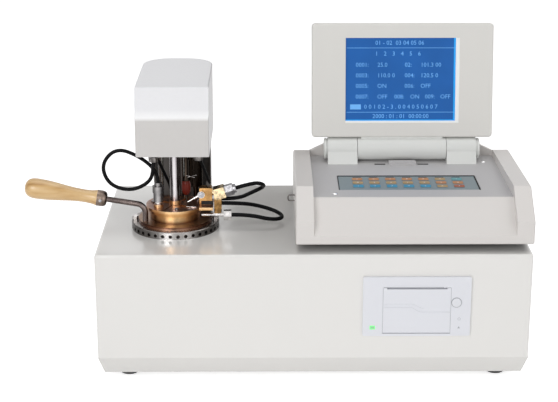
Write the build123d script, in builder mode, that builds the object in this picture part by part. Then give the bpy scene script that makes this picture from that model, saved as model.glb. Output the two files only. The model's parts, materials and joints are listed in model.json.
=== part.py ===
from build123d import *
import os
from math import cos, radians, sin, sqrt, tan

# Automatic closed-cup flash point tester: a sheet-metal base with a heating bath on the
# left, a lifting head above the bath, and a control console with a folding screen on the
# right. Millimetres, +Z up. The origin is on the table, below the middle of the outline.

# ---- Driving dimensions -------------------------------------------------------------

# Base housing
base_x = 40               # middle of the base, from the origin
base_y = -7.9
base_width = 450
base_depth = 242
deck_height = 142           # deck above the table
foot_height = 9.5
foot_radius = 11.2
foot_inset = 30             # foot centre in from the base's edges
skirt_height = 18.5         # bevelled pan below the cover
skirt_inset = 6
sheet = 1.5                 # folded sheet steel
cover_fillet = 2.5
slip = 0.3                  # gap between pieces that slide or drop into each other

# Cup, bath and collar: heights are above the deck, plan sizes from the cup's axis
cup_from_left = 78          # cup axis in from the base's left side
cup_from_front = 94
cup_bore_radius = 25.4
cup_depth = 56
cup_wall = 1.6
cup_floor = 2.4
flange_radius = 39.5
flange_thickness = 3
flange_below_rim = 11.6
collar_radius = 47
collar_height = 8
collar_wall = 2.5
collar_lip = 2.5            # thickness of the collar's top ring
vent_count = 36
vent_radius = 1.9
vent_height = 3.3
vent_phase = -93.4          # degrees, first vent just left of the front
screw_spread = 43.3         # collar screws from the cup axis
bath_gap = 4                # air gap between the cup and the bath
bath_wall = 7
bath_floor = 7
bath_below_cup = 9
bath_rim_radius = 43
heater_thickness = 6
heater_height = 34

# Cup handle: a bent rod, a ferrule and a turned wooden grip
handle_rod_radius = 3
handle_root_x = -31         # where the rod stands on the flange
handle_root_y = -16
handle_knee = 18            # height of the bend above the flange
handle_bend = 10
handle_rise = 9.2           # degrees above level
handle_reach = 41           # from the bend to the ferrule
ferrule_length = 10.5
ferrule_radius = 8.6
ferrule_nose = 4.9
grip_length = 77
grip_neck = 6.9
grip_bulb = 10.9
rivet_radius = 1.6

# Lid and its mechanism
lid_radius = 31
lid_thickness = 3
lid_rim_radius = 29
lid_skirt = 3.5             # height of the rim below the plate
lid_arm_reach = 41          # tab that carries the ignition block
shutter_radius = 24
shutter_thickness = 1.3
shutter_pocket = 1.5
shutter_swing = 38          # degrees
boss_radius = 3.5
burner_window = (9, 22.4, -32, 4)      # inner and outer radius, first and last degree
side_window = (12, 21, 80, 100)
probe_island = (186, 244)   # sector of the lid that stays at full height
running_gap = 0.1

# Shafts, stirrer and probe
tube_radius = 5.35
stirrer_radius = 2
upper_blade_reach = 9.5
lower_blade_reach = 17
blade_width = 8
blade_thickness = 1.2
upper_blade_height = 9
lower_blade_height = -16
stirrer_end = -20
hanger_radius = 2.7
hanger_spots = ((8, 26), (-16, 22))
probe_x = -17
probe_y = -12
probe_stem_radius = 1.75
probe_tip = -22
probe_body_radius = 6.2
probe_body_base = 32
probe_body_top = 53
igniter_x = 12
igniter_y = -7

# Ignition block and gas fittings
block_left = 26.5
block_width = 13.5
block_front = -6
block_depth = 11
block_height = 18.6
knob_x = 36.2               # valve knob on the block
knob_y = 1.5
elbow_width = 12
elbow_height = 12
elbow_depth = 10
elbow_tilt = 17             # degrees
elbow_forward = 3           # its front stands this much further forward
elbow_x = 48
elbow_z = 38.6
post_left = 42
post_width = 8
post_bottom = 13.5
pivot_x = 28.5              # burner pivot on the block's front face
pivot_z = 38
pivot_radius = 2
burner_reach = 16.6
burner_angle = 30           # degrees below level at rest
burner_hub_radius = 3.8
burner_hub_width = 4
nozzle_radius = 1.1
nut_radius = 6.8
nut_length = 12
pipe_radius = 1.9
pipe_start = 29
pipe_y = -12
pipe_z = 16.4
pipe_end = 52.5
lower_nut_radius = 6
lower_nut_length = 8.3
return_ports = (26.5, 30)    # heights of the two hose ports on the post
hose_diameter = 4.3
cable_diameter = 4

# Lifting head
hood_width = 77
hood_front = -28
hood_depth = 148.5
hood_corner = 30            # radius of its two rear corners
hood_bottom = 85.3
hood_crease = 125
hood_top = 158.8
hood_lean = 6
hood_wall = 1.5
hood_fillet = 1.4
plate_bottom = 88
plate_thickness = 3
motor_radius = 18
motor_height = 40
drive_radius = 6.9
drive_x = 21.5
drive_y = 18.5
drive_base = 40
lift_stroke = 100
column_radius = 31.8
column_x = 4.5
column_y = 84               # centre of the column's round back, behind the cup axis
column_front = 62
column_wall = 2
column_gap = 1              # around the column where it passes the deck
column_clearance = 13       # between the column and the pan's floor with the head down
guide_radius = 4
guide_spacing = 34
guide_y = 89
guide_top = 80
actuator_radius = 10
actuator_y = 98
actuator_top = 60
actuator_rod_radius = 5
carriage_block = 14
carriage_gap = 44           # between the two bearing blocks
spine_front = 66            # spine plate, set back inside the column
spine_thickness = 4

# Console: heights above the deck, depths back from its front
console_overhang = 1.9      # console's right side out from the base's right side
console_from_front = 9.5
console_width = 245.4
fitting_shift = 1.2         # keypad and hinge stand this far left of the console's middle
console_depth = 206.5
console_lift = 7.5          # stands this far above the deck
console_fold = 32           # height of the fold in the front
console_brow = 60           # height of the wings at their front
console_brow_back = 35
console_tail = 56
console_tail_back = 186.5
console_rear = 46
console_wall = 3
console_fillet = 2
wing_width = 18.5
panel_height = 48.5
panel_thickness = 1.5
cowl_height = 67            # raised wall behind the hinge
cowl_thickness = 6.5
cowl_slope = 27             # width over which it falls to the wings
panel_back = 34
front_wall_foot = 17
front_wall_back = 32
socket_width = 30           # cable socket under the hinge
keypad_width = 150
keypad_depth = 51
keypad_centre_back = 84
keypad_thickness = 0.6
keypad_sink = 1
key_columns = 7
key_rows = 3
key_pitch_x = 17.9
key_pitch_y = 12.6
key_width = 11.6
key_depth = 8.6
key_rise = 0.4

# Screen and its hinge
hinge_back = 171.5
hinge_height = 62
hinge_radius = 12.75
hinge_pin_radius = 3
knuckle_width = 33
knuckle_foot = 18           # foot in front of the hinge axis
barrel_length = 99
screen_width = 202
screen_height = 127
screen_gap = 13.1           # from the hinge axis to the screen's lower edge
screen_tilt = 10            # degrees back from upright
bezel_depth = 8
back_depth = 12
screen_skin = 2.5
window_width = 127
window_height = 94.5
lcd_width = 134
lcd_height = 102
lcd_thickness = 5

# Printer
printer_from_right = 118.6  # centre in from the base's right side
printer_z = 86.3            # centre above the table
printer_width = 111.4
printer_height = 65
printer_proud = 3
chassis_width = 100
chassis_height = 58
chassis_depth = 58
door_width = 69.7
door_bottom = 56.5
door_top = 107
door_thickness = 3
roll_radius = 19
roll_width = 57
roll_back = 29
bay_width = 62
bay_depth = 50
bay_height = 42
slot_height = 1.5
button_radius = 4.8
button_x = 40.8
button_z = 4.6
button_proud = 1.2
lamp_width = 5.5
lamp_height = 4
lamp_x = -45.6
lamp_z = -23.1

# Rear panel
fan_size = 60
fan_depth = 15
fan_from_right = 75         # fan centre in from the base's right side
fan_z = 85
fan_hub_radius = 14
fan_blades = 7
fan_bore_radius = 28
grille_rings = 4
inlet_x = 30
inlet_z = 62
inlet_width = 48
inlet_height = 58
inlet_flange = 2
rocker_width = 21
rocker_height = 13
gas_from_left = 155
gas_z = 62
gas_nozzle_radius = 3
gas_nozzle_length = 15

# ---- Places worked out from the dimensions -------------------------------------------

base_left = base_x - base_width / 2
base_right = base_x + base_width / 2
base_front = base_y - base_depth / 2
base_back = base_y + base_depth / 2
skirt_top = foot_height + skirt_height
pan_floor = foot_height + sheet
under_deck = pan_floor - deck_height
column_below = -under_deck - column_clearance
fan_x = base_width / 2 - fan_from_right
gas_x = gas_from_left - base_width / 2

base_plane = Plane((base_x, base_y, 0))
cup_x = base_left + cup_from_left
cup_y = base_front + cup_from_front
cup_plane = Plane((cup_x, cup_y, deck_height))
cup_section = Plane((cup_x, cup_y, deck_height), x_dir=(1, 0, 0), z_dir=(0, -1, 0))
cup_axis = Axis((cup_x, cup_y, 0), (0, 0, 1))

flange_top = collar_height + flange_thickness
cup_rim = flange_top + flange_below_rim
cup_radius = cup_bore_radius + cup_wall
cup_bottom = cup_rim - cup_depth - cup_floor
well_radius = cup_radius + bath_gap
bath_radius = well_radius + bath_wall
well_floor = cup_bottom - bath_below_cup
bath_top = collar_height - collar_lip
lid_top = cup_rim + lid_thickness
pocket_floor = lid_top - shutter_pocket
plate_top = plate_bottom + plate_thickness

console_left = base_right + console_overhang - console_width
console_front = base_front + console_from_front
console_x = console_left + console_width / 2
fitting_x = console_x - fitting_shift
console_side = Plane((console_left, console_front, deck_height), x_dir=(0, 1, 0), z_dir=(1, 0, 0))
recess_width = console_width - 2 * wing_width
recess_side = console_side.offset(wing_width)
panel_plane = Plane((fitting_x, console_front, deck_height + panel_height))

hinge_y = console_front + hinge_back
hinge_z = deck_height + hinge_height
tilt = radians(screen_tilt)
screen_plane = Plane((fitting_x, hinge_y, hinge_z), x_dir=(1, 0, 0), z_dir=(0, -cos(tilt), sin(tilt)))
screen_middle = screen_gap + screen_height / 2

printer_x = base_right - printer_from_right
front_plane = Plane((printer_x, base_front, printer_z), x_dir=(1, 0, 0), z_dir=(0, -1, 0))
rear_plane = Plane((base_x, base_back, 0), x_dir=(-1, 0, 0), z_dir=(0, 1, 0))


def write(piece, name):
    """Label a finished piece and write it as one STEP file."""
    piece.label = name
    export_step(piece, f"parts/{name}.step")


def sector(inner, outer, first, last):
    """A flat ring sector between two radii and two angles in degrees."""
    ends = [(r * cos(radians(a)), r * sin(radians(a))) for a in (first, last) for r in (inner, outer)]
    with BuildSketch(mode=Mode.PRIVATE) as shape:
        with BuildLine():
            CenterArc((0, 0), outer, first, last - first)
            CenterArc((0, 0), inner, first, last - first)
            Line(ends[0], ends[1])
            Line(ends[2], ends[3])
        make_face()
    return shape.sketch


def column_outline(radius, front):
    """The column's plan: straight sides and a half-round back, from the cup axis."""
    with BuildSketch(mode=Mode.PRIVATE) as shape:
        with Locations((column_x, column_y)):
            Circle(radius)
        with Locations((column_x, (column_y + front) / 2)):
            Rectangle(2 * radius, column_y - front)
    return shape.sketch


def hood_outline(inset):
    """The hood's plan: a rectangle with two round rear corners, set in by inset on every side."""
    with BuildSketch(mode=Mode.PRIVATE) as shape:
        with Locations((0, hood_front + hood_depth / 2)):
            Rectangle(hood_width - 2 * inset, hood_depth - 2 * inset)
        fillet(shape.vertices().group_by(Axis.Y)[-1], radius=hood_corner - inset)
    return shape.sketch


os.makedirs("parts", exist_ok=True)

# ---- Base housing ----------------------------------------------------------------------

# Bevelled pan: a tray whose sides lean out to the cover's outline.
with BuildPart() as base_pan:
    for wall, mode in ((0, Mode.ADD), (sheet, Mode.SUBTRACT)):
        with BuildSketch(base_plane.offset(foot_height + wall)):
            Rectangle(base_width - 2 * (skirt_inset + wall), base_depth - 2 * (skirt_inset + wall))
        with BuildSketch(base_plane.offset(skirt_top)):
            Rectangle(base_width - 2 * wall, base_depth - 2 * wall)
        loft(mode=mode)
write(base_pan.part, "base_pan")

# Cover: deck, front and sides folded from one sheet, open below and behind.
cover_height = deck_height - skirt_top
with BuildPart() as main_cover:
    with BuildSketch(base_plane.offset(skirt_top)):
        Rectangle(base_width, base_depth)
    extrude(amount=cover_height)
    top_edges = main_cover.faces().sort_by(Axis.Z)[-1].edges()
    front_uprights = main_cover.edges().filter_by(Axis.Z).group_by(Axis.Y)[0]
    fillet(top_edges + front_uprights, radius=cover_fillet)
    with BuildSketch(base_plane.offset(skirt_top)):
        with Locations((0, sheet / 2)):
            Rectangle(base_width - 2 * sheet, base_depth - sheet)
    extrude(amount=cover_height - sheet, mode=Mode.SUBTRACT)
    with BuildSketch(cup_plane):
        Circle(bath_radius + slip)
        add(column_outline(column_radius + column_gap, column_front - column_gap))
    extrude(amount=-2 * sheet, mode=Mode.SUBTRACT)
    with BuildSketch(front_plane):
        Rectangle(chassis_width + 2 * slip, chassis_height + 2 * slip)
    extrude(amount=-2 * sheet, mode=Mode.SUBTRACT)
write(main_cover.part, "main_cover")

# Rear panel: a plate inside the cover's back edge, with the fan's grille cut in it.
panel_top = deck_height - sheet
grille_step = (fan_bore_radius - fan_hub_radius / 2) / grille_rings
with BuildPart() as rear_panel:
    with BuildSketch(rear_plane):
        with Locations((0, (skirt_top + panel_top) / 2)):
            Rectangle(base_width - 2 * sheet, panel_top - skirt_top)
    extrude(amount=-sheet)
    with BuildSketch(rear_plane):
        with Locations((-fan_x, fan_z)):
            for ring in range(grille_rings):
                inner = fan_hub_radius / 2 + ring * grille_step
                for quarter in range(4):
                    add(sector(inner, inner + grille_step / 2, quarter * 90 + 12, quarter * 90 + 78))
        with Locations((-inlet_x, inlet_z)):
            Rectangle(inlet_width - 8, inlet_height - 8)
        with Locations((-gas_x, gas_z)):
            Circle(gas_nozzle_radius + 2)
    extrude(amount=-sheet, mode=Mode.SUBTRACT)
write(rear_panel.part, "rear_panel")

# Four rubber feet under the pan.
with BuildPart(base_plane) as feet:
    with GridLocations(base_width - 2 * foot_inset, base_depth - 2 * foot_inset, 2, 2):
        Cone(foot_radius - 1, foot_radius, foot_height, align=(Align.CENTER, Align.CENTER, Align.MIN))
    fillet(feet.edges().group_by(Axis.Z)[0], radius=2)
write(feet.part, "feet")

# ---- Heating bath ------------------------------------------------------------------------

# Bath: a thick-walled well that hangs in the deck by its rim.
with BuildPart() as heating_bath:
    with BuildSketch(cup_section):
        with BuildLine():
            Polyline(
                (0, well_floor), (well_radius, well_floor), (well_radius, bath_top),
                (bath_rim_radius, bath_top), (bath_rim_radius, 0), (bath_radius, 0),
                (bath_radius, well_floor - bath_floor), (0, well_floor - bath_floor), close=True,
            )
        make_face()
    revolve(axis=cup_axis)
write(heating_bath.part, "heating_bath")

# Band heater around the bath.
heater_top = -sheet - 8
with BuildPart() as bath_heater:
    with BuildSketch(cup_plane.offset(heater_top - heater_height)):
        Circle(bath_radius + slip + heater_thickness)
        Circle(bath_radius + slip, mode=Mode.SUBTRACT)
        with Locations((0, -bath_radius - heater_thickness / 2)):
            Rectangle(3, 2 * heater_thickness, mode=Mode.SUBTRACT)
    extrude(amount=heater_height)
write(bath_heater.part, "bath_heater")

# Collar: a ring with a row of vents that covers the bath's rim and carries the cup.
with BuildPart() as bath_collar:
    with BuildSketch(cup_section):
        with BuildLine():
            Polyline(
                (well_radius, bath_top), (collar_radius - collar_wall, bath_top),
                (collar_radius - collar_wall, 0), (collar_radius, 0), (collar_radius, collar_height),
                (well_radius, collar_height), close=True,
            )
        make_face()
    revolve(axis=cup_axis)
    chamfer(bath_collar.edges().group_by(Axis.Z)[-1].sort_by(SortBy.RADIUS)[-1], length=0.8)
    with BuildSketch(cup_plane.offset(collar_height)):
        with Locations((0, -(flange_radius + collar_radius) / 2)):
            Rectangle(5, 3.2)
    extrude(amount=-1.6, mode=Mode.SUBTRACT)
    with Locations(cup_plane.offset(vent_height)):
        with PolarLocations(collar_radius - collar_wall / 2, vent_count, start_angle=vent_phase):
            Cylinder(vent_radius, 2 * collar_wall, rotation=(0, 90, 0), mode=Mode.SUBTRACT)
write(bath_collar.part, "bath_collar")

# Two hexagon screws that clamp the collar beside the cup's flange.
with BuildPart() as collar_screws:
    with BuildSketch(cup_plane.offset(collar_height)):
        with Locations((-screw_spread, 0), (screw_spread, 0)):
            RegularPolygon(3.4, 6)
    extrude(amount=4)
write(collar_screws.part, "collar_screws")

# ---- Test cup -----------------------------------------------------------------------------

# Cup: a turned pot with the flange that rests on the collar.
with BuildPart() as test_cup:
    with BuildSketch(cup_section):
        with BuildLine():
            Polyline(
                (0, cup_bottom), (cup_radius, cup_bottom), (cup_radius, collar_height),
                (flange_radius, collar_height), (flange_radius, flange_top), (cup_radius, flange_top),
                (cup_radius, cup_rim), (cup_bore_radius, cup_rim),
                (cup_bore_radius, cup_bottom + cup_floor), (0, cup_bottom + cup_floor), close=True,
            )
        make_face()
    revolve(axis=cup_axis)
    fillet(test_cup.edges().group_by(Axis.Z)[0], radius=2)
write(test_cup.part, "test_cup")

# Handle rod: stands on the flange and bends over to the left.
rise = radians(handle_rise)
handle_section = cup_section.offset(-handle_root_y)
knee = (handle_root_x, flange_top + handle_knee)
rod_end = (knee[0] - handle_reach * cos(rise), knee[1] + handle_reach * sin(rise))
with BuildPart() as handle_rod:
    with BuildLine(handle_section) as rod_path:
        FilletPolyline((handle_root_x, flange_top), knee, rod_end, radius=handle_bend)
    with BuildSketch(cup_plane.offset(flange_top)):
        with Locations((handle_root_x, handle_root_y)):
            Circle(handle_rod_radius)
    sweep(path=rod_path.wires()[0])
write(handle_rod.part, "handle_rod")

# Ferrule and grip are turned about the rod's outer leg, measured from its end.
grip_plane = Plane(
    handle_section.from_local_coords(Vector(rod_end[0], rod_end[1], 0)),
    x_dir=(-cos(rise), 0, sin(rise)), z_dir=(0, 1, 0),
)
grip_axis = Axis(grip_plane.origin, grip_plane.x_dir)
with BuildPart() as handle_ferrule:
    with BuildSketch(grip_plane):
        with BuildLine():
            Line((0, 0), (0, ferrule_nose))
            Spline((0, ferrule_nose), (0.6 * ferrule_length, ferrule_radius), tangents=((0.2, 1), (1, 0)))
            Polyline(
                (0.6 * ferrule_length, ferrule_radius), (ferrule_length, ferrule_radius),
                (ferrule_length, 0), (0, 0),
            )
        make_face()
    revolve(axis=grip_axis)
    with BuildSketch(grip_plane):
        with Locations((0.6 * ferrule_length, 0)):
            Circle(rivet_radius)
    extrude(amount=2 * ferrule_radius, both=True, mode=Mode.SUBTRACT)
write(handle_ferrule.part, "handle_ferrule")

with BuildPart() as handle_rivet:
    with BuildSketch(grip_plane):
        with Locations((0.6 * ferrule_length, 0)):
            Circle(rivet_radius)
    extrude(amount=ferrule_radius + 0.5, both=True)
write(handle_rivet.part, "handle_rivet")

grip_end = ferrule_length + grip_length
neck_at = ferrule_length + 0.22 * grip_length
bulb_at = ferrule_length + 0.84 * grip_length
with BuildPart() as handle_grip:
    with BuildSketch(grip_plane):
        with BuildLine():
            Line((ferrule_length, 0), (ferrule_length, ferrule_radius))
            Spline(
                (ferrule_length, ferrule_radius), (neck_at, grip_neck), (bulb_at, grip_bulb),
                tangents=((1, -0.35), (1, 0)),
            )
            Spline((bulb_at, grip_bulb), (grip_end, 0), tangents=((1, 0), (0, -1)))
            Line((grip_end, 0), (ferrule_length, 0))
        make_face()
    revolve(axis=grip_axis)
write(handle_grip.part, "handle_grip")

# ---- Lid, shutter and stirrer ---------------------------------------------------------------

# Lid: a round plate with a rim that drops over the cup, and a tab for the ignition block.
with BuildPart() as lid:
    with BuildSketch(cup_plane.offset(cup_rim)):
        Circle(lid_radius)
        with Locations((lid_arm_reach / 2, 0)):
            Rectangle(lid_arm_reach, 32)
    extrude(amount=lid_thickness)
    with BuildSketch(cup_plane.offset(cup_rim - lid_skirt)):
        Circle(lid_rim_radius)
        Circle(cup_radius + slip, mode=Mode.SUBTRACT)
    extrude(amount=lid_skirt)
    with BuildSketch(cup_plane.offset(pocket_floor)):
        Circle(shutter_radius + slip)
        add(sector(boss_radius + 2, shutter_radius + 2, *probe_island), mode=Mode.SUBTRACT)
    extrude(amount=lid_thickness, mode=Mode.SUBTRACT)
    with BuildSketch(cup_plane.offset(cup_rim)):
        Circle(stirrer_radius + running_gap)
        add(sector(*burner_window))
        add(sector(*side_window))
        with Locations((probe_x, probe_y)):
            Circle(probe_stem_radius)
    extrude(amount=2 * lid_thickness, mode=Mode.SUBTRACT)
write(lid.part, "lid")

# Shutter: a thin leaf that turns about the stirrer's boss; its windows meet the lid's when open.
leaf_first = probe_island[1] - 360 + 4
leaf_last = probe_island[0] - shutter_swing - 4
with BuildPart() as shutter:
    with BuildSketch(cup_plane.offset(pocket_floor)):
        Circle(boss_radius + 1.6)
        add(sector(boss_radius + 1, shutter_radius, leaf_first, leaf_last))
        Circle(boss_radius + running_gap, mode=Mode.SUBTRACT)
        for window in (burner_window, side_window):
            turned = (window[2] - shutter_swing, window[3] - shutter_swing)
            add(sector(window[0], window[1], *turned), mode=Mode.SUBTRACT)
    extrude(amount=shutter_thickness)
write(shutter.part, "shutter")

# Stirrer tube: stands on the lid's boss and holds the lid below the head's plate.
tube_bottom = lid_top + 3
with BuildPart() as stirrer_tube:
    with BuildSketch(cup_plane.offset(pocket_floor)):
        Circle(boss_radius)
    extrude(amount=tube_bottom - pocket_floor)
    with BuildSketch(cup_plane.offset(tube_bottom)):
        Circle(tube_radius)
    extrude(amount=plate_bottom - tube_bottom)
    with BuildSketch(cup_plane.offset(pocket_floor)):
        Circle(stirrer_radius + running_gap)
    extrude(amount=plate_bottom, mode=Mode.SUBTRACT)
write(stirrer_tube.part, "stirrer_tube")

# Stirrer: a shaft with a small propeller in the vapour and a large one in the liquid.
with BuildPart() as stirrer:
    with BuildSketch(cup_plane.offset(stirrer_end)):
        Circle(stirrer_radius)
    extrude(amount=plate_top + 18 - stirrer_end)
    for reach, height in ((upper_blade_reach, upper_blade_height), (lower_blade_reach, lower_blade_height)):
        with BuildSketch(cup_plane.offset(height - 3.5)):
            Circle(stirrer_radius + 1.6)
        extrude(amount=7)
        with Locations(cup_plane.offset(height)):
            with PolarLocations((stirrer_radius + reach) / 2, 4):
                Box(reach - stirrer_radius, blade_width, blade_thickness, rotation=(45, 0, 0))
write(stirrer.part, "stirrer")

# Two rods that hang the lid from the head's plate.
with BuildPart() as hanger_rods:
    with BuildSketch(cup_plane.offset(lid_top)):
        with Locations(*hanger_spots):
            Circle(hanger_radius)
    extrude(amount=plate_bottom - lid_top)
write(hanger_rods.part, "hanger_rods")

# Shutter drive: a wide tube with a ring above a thin shaft.
with BuildPart() as drive_tube:
    for bottom, top, radius in (
        (lid_top, drive_base, 2.6),
        (drive_base, plate_bottom, drive_radius),
        (drive_base + 30, drive_base + 33.5, drive_radius + 1),
    ):
        with BuildSketch(cup_plane.offset(bottom)):
            with Locations((drive_x, drive_y)):
                Circle(radius)
        extrude(amount=top - bottom)
write(drive_tube.part, "drive_tube")

# ---- Temperature probe ------------------------------------------------------------------------

with BuildPart() as probe:
    with BuildSketch(cup_plane.offset(probe_tip)):
        with Locations((probe_x, probe_y)):
            Circle(probe_stem_radius)
    extrude(amount=lid_top - probe_tip)
    with BuildSketch(cup_plane.offset(lid_top)):
        with Locations((probe_x, probe_y)):
            Circle(probe_stem_radius + 1.6)
    extrude(amount=probe_body_base - lid_top)
write(probe.part, "probe")

with BuildPart() as probe_connector:
    for bottom, top, radius in (
        (probe_body_base, probe_body_base + 10, probe_body_radius - 0.8),
        (probe_body_base + 10, probe_body_base + 17, probe_body_radius),
        (probe_body_base + 17, probe_body_top, probe_body_radius - 2.2),
    ):
        with BuildSketch(cup_plane.offset(bottom)):
            with Locations((probe_x, probe_y)):
                Circle(radius)
        extrude(amount=top - bottom)
write(probe_connector.part, "probe_connector")

# Igniter: a capped electrode that hangs from the head's plate in front of the stirrer tube.
with BuildPart() as igniter:
    for bottom, top, radius in ((35, 49, 4.6), (49, 52, 3.4), (52, plate_bottom, 1.1)):
        with BuildSketch(cup_plane.offset(bottom)):
            with Locations((igniter_x, igniter_y)):
                Circle(radius)
        extrude(amount=top - bottom)
write(igniter.part, "igniter")

# ---- Ignition block, burner and gas fittings ---------------------------------------------------

block_top = lid_top + block_height
block_middle = block_left + block_width / 2
block_back = block_front + block_depth
with BuildPart() as ignition_block:
    with BuildSketch(cup_plane.offset(lid_top)):
        with Locations((block_middle, (block_front + block_back) / 2)):
            Rectangle(block_width, block_depth)
    extrude(amount=block_height)
    chamfer(ignition_block.edges().filter_by(Axis.Y), length=0.8)
write(ignition_block.part, "ignition_block")

pivot_plane = cup_section.offset(-block_front)
with BuildPart() as burner_pivot:
    with BuildSketch(pivot_plane):
        with Locations((pivot_x, pivot_z)):
            Circle(pivot_radius)
    extrude(amount=burner_hub_width + slip)
    with BuildSketch(pivot_plane.offset(burner_hub_width + slip)):
        with Locations((pivot_x, pivot_z)):
            Circle(pivot_radius + 1)
    extrude(amount=1)
write(burner_pivot.part, "burner_pivot")

# Burner: a hub on the pivot with a thin nozzle that points down over the lid's window.
fall = radians(burner_angle)
burner_origin = pivot_plane.from_local_coords(Vector(pivot_x, pivot_z, burner_hub_width / 2))
nozzle_plane = Plane(burner_origin, z_dir=(-cos(fall), 0, -sin(fall)))
with BuildPart() as burner:
    with BuildSketch(pivot_plane):
        with Locations((pivot_x, pivot_z)):
            Circle(burner_hub_radius)
    extrude(amount=burner_hub_width)
    with BuildSketch(nozzle_plane):
        Circle(nozzle_radius + 0.7)
    extrude(amount=0.55 * burner_reach)
    with BuildSketch(nozzle_plane):
        Circle(nozzle_radius)
    extrude(amount=burner_reach)
    with BuildSketch(pivot_plane):
        with Locations((pivot_x, pivot_z)):
            Circle(pivot_radius + running_gap)
    extrude(amount=burner_hub_width, mode=Mode.SUBTRACT)
write(burner.part, "burner")

# Valve knob on top of the block.
with BuildPart() as valve_knob:
    for bottom, top, radius in ((block_top, block_top + 1.4, 1.4), (block_top + 1.4, block_top + 5.6, 2.7)):
        with BuildSketch(cup_plane.offset(bottom)):
            with Locations((knob_x, knob_y)):
                Circle(radius)
                if radius > 2:
                    with PolarLocations(radius, 12):
                        Circle(0.35, mode=Mode.SUBTRACT)
        extrude(amount=top - bottom)
write(valve_knob.part, "valve_knob")

# Elbow: a tilted manifold beside the block, with a spigot into it and a post below.
tilt_up = radians(elbow_tilt)
elbow_plane = Plane(
    cup_section.from_local_coords(Vector(elbow_x, elbow_z, 0)),
    x_dir=(cos(tilt_up), 0, sin(tilt_up)), z_dir=(0, -1, 0),
)
block_side = Plane((cup_x + block_left + block_width, cup_y, deck_height), x_dir=(0, 1, 0), z_dir=(1, 0, 0))
with BuildPart() as gas_elbow:
    with BuildSketch(elbow_plane):
        Rectangle(elbow_width, elbow_height)
    extrude(amount=elbow_forward + elbow_depth / 2)
    extrude(gas_elbow.faces().sort_by(Axis.Y)[-1], amount=elbow_depth / 2)
    chamfer(gas_elbow.edges().filter_by(Axis.Y), length=0.6)
    with BuildSketch(block_side):
        with Locations((0, elbow_z)):
            Circle(4)
    extrude(amount=elbow_x - block_left - block_width)
    with BuildSketch(cup_section):
        with BuildLine():
            Line((post_left, elbow_z - 2), (post_left, post_bottom + post_width / 2))
            Line((post_left + post_width, post_bottom + post_width / 2), (post_left + post_width, elbow_z - 2))
            Line((post_left, elbow_z - 2), (post_left + post_width, elbow_z - 2))
            SagittaArc(
                (post_left, post_bottom + post_width / 2), (post_left + post_width, post_bottom + post_width / 2),
                -post_width / 2,
            )
        make_face()
    extrude(amount=post_width / 2, both=True)
write(gas_elbow.part, "gas_elbow")

# Hexagon connector that carries the upper hose.
nut_plane = Plane(
    elbow_plane.from_local_coords(Vector(elbow_width / 2, -1, 0)),
    x_dir=(0, 1, 0), z_dir=(cos(tilt_up), 0, sin(tilt_up)),
)
with BuildPart() as hose_connector:
    with BuildSketch(nut_plane):
        RegularPolygon(nut_radius, 6)
    extrude(amount=nut_length - 3)
    with BuildSketch(nut_plane.offset(nut_length - 3)):
        Circle(nut_radius - 2)
    extrude(amount=3)
write(hose_connector.part, "hose_connector")

# Gas pipe: a thin pipe along the front of the post with a nut for the lower hose.
pipe_plane = Plane((cup_x + pipe_start, cup_y + pipe_y, deck_height + pipe_z), x_dir=(0, 1, 0), z_dir=(1, 0, 0))
with BuildPart() as gas_pipe:
    with BuildSketch(pipe_plane):
        Circle(pipe_radius)
    extrude(amount=pipe_end - pipe_start)
    with BuildSketch(pipe_plane.offset(pipe_end - pipe_start)):
        RegularPolygon(lower_nut_radius, 6)
    extrude(amount=lower_nut_length)
    with BuildSketch(cup_section.offset(-pipe_y)):
        with Locations((post_left + post_width / 2, pipe_z)):
            Rectangle(6, 2 * pipe_radius)
    extrude(amount=pipe_y + post_width / 2)
write(gas_pipe.part, "gas_pipe")

# ---- Hoses and cable ------------------------------------------------------------------------------


def cord(points, diameter):
    """A round cord along straight runs joined by tangent arcs, from the cup axis and the deck."""
    ends = [cup_plane.from_local_coords(Vector(*point)) for point in points]
    radii = []
    for before, here, after in zip(ends, ends[1:], ends[2:]):
        half_turn = radians((here - before).get_angle(after - here)) / 2
        shorter = min((here - before).length, (after - here).length)
        radii.append(0.45 * shorter / tan(half_turn))
    print("bend radii", [round(radius, 1) for radius in radii])
    with BuildPart(mode=Mode.PRIVATE) as tube:
        with BuildLine() as path:
            FilletPolyline(*ends, radius=radii)
        with BuildSketch(Plane(ends[0], z_dir=ends[1] - ends[0])):
            Circle(diameter / 2)
        sweep(path=path.wires()[0])
    section = 3.14159 * diameter ** 2 / 4
    print("volume over section and length", round(tube.part.volume / section / path.wires()[0].length, 4))
    return tube.part


hose_exit = nut_plane.offset(nut_length).origin - cup_plane.origin
hose_run = 19
upper_route = (
    (hose_exit.X, hose_exit.Y, hose_exit.Z),
    (hose_exit.X + hose_run * cos(tilt_up), hose_exit.Y, hose_exit.Z + hose_run * sin(tilt_up)),
    (94, 5, 46),
    (96, 18, 38.5),
    (82, 21, 31),
    (68, 2.3, return_ports[1]),
    (post_left + post_width, 2.3, return_ports[1]),
)
upper_hose = cord(upper_route, hose_diameter)
write(upper_hose, "upper_hose")

lower_route = (
    (pipe_end + lower_nut_length, pipe_y, pipe_z),
    (80, pipe_y, pipe_z),
    (103, -13, 11),
    (117, -3, 9.5),
    (111, 12, 12),
    (88, 12, 19.5),
    (68, -2.3, return_ports[0]),
    (post_left + post_width, -2.3, return_ports[0]),
)
lower_hose = cord(lower_route, hose_diameter)
write(lower_hose, "lower_hose")

cable_route = (
    (probe_x, probe_y, probe_body_top),
    (probe_x, probe_y, 64),
    (-34, -10, 80),
    (-60, -10, 91),
    (-77, -12, 73),
    (-69, -15, 51),
    (-45, -18, 45),
    (-24, -20, 56),
    (-20.5, -20, 72),
    (-20.5, -20, plate_bottom),
)
probe_cable = cord(cable_route, cable_diameter)
write(probe_cable, "probe_cable")

# ---- Lifting head -----------------------------------------------------------------------------------

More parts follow.
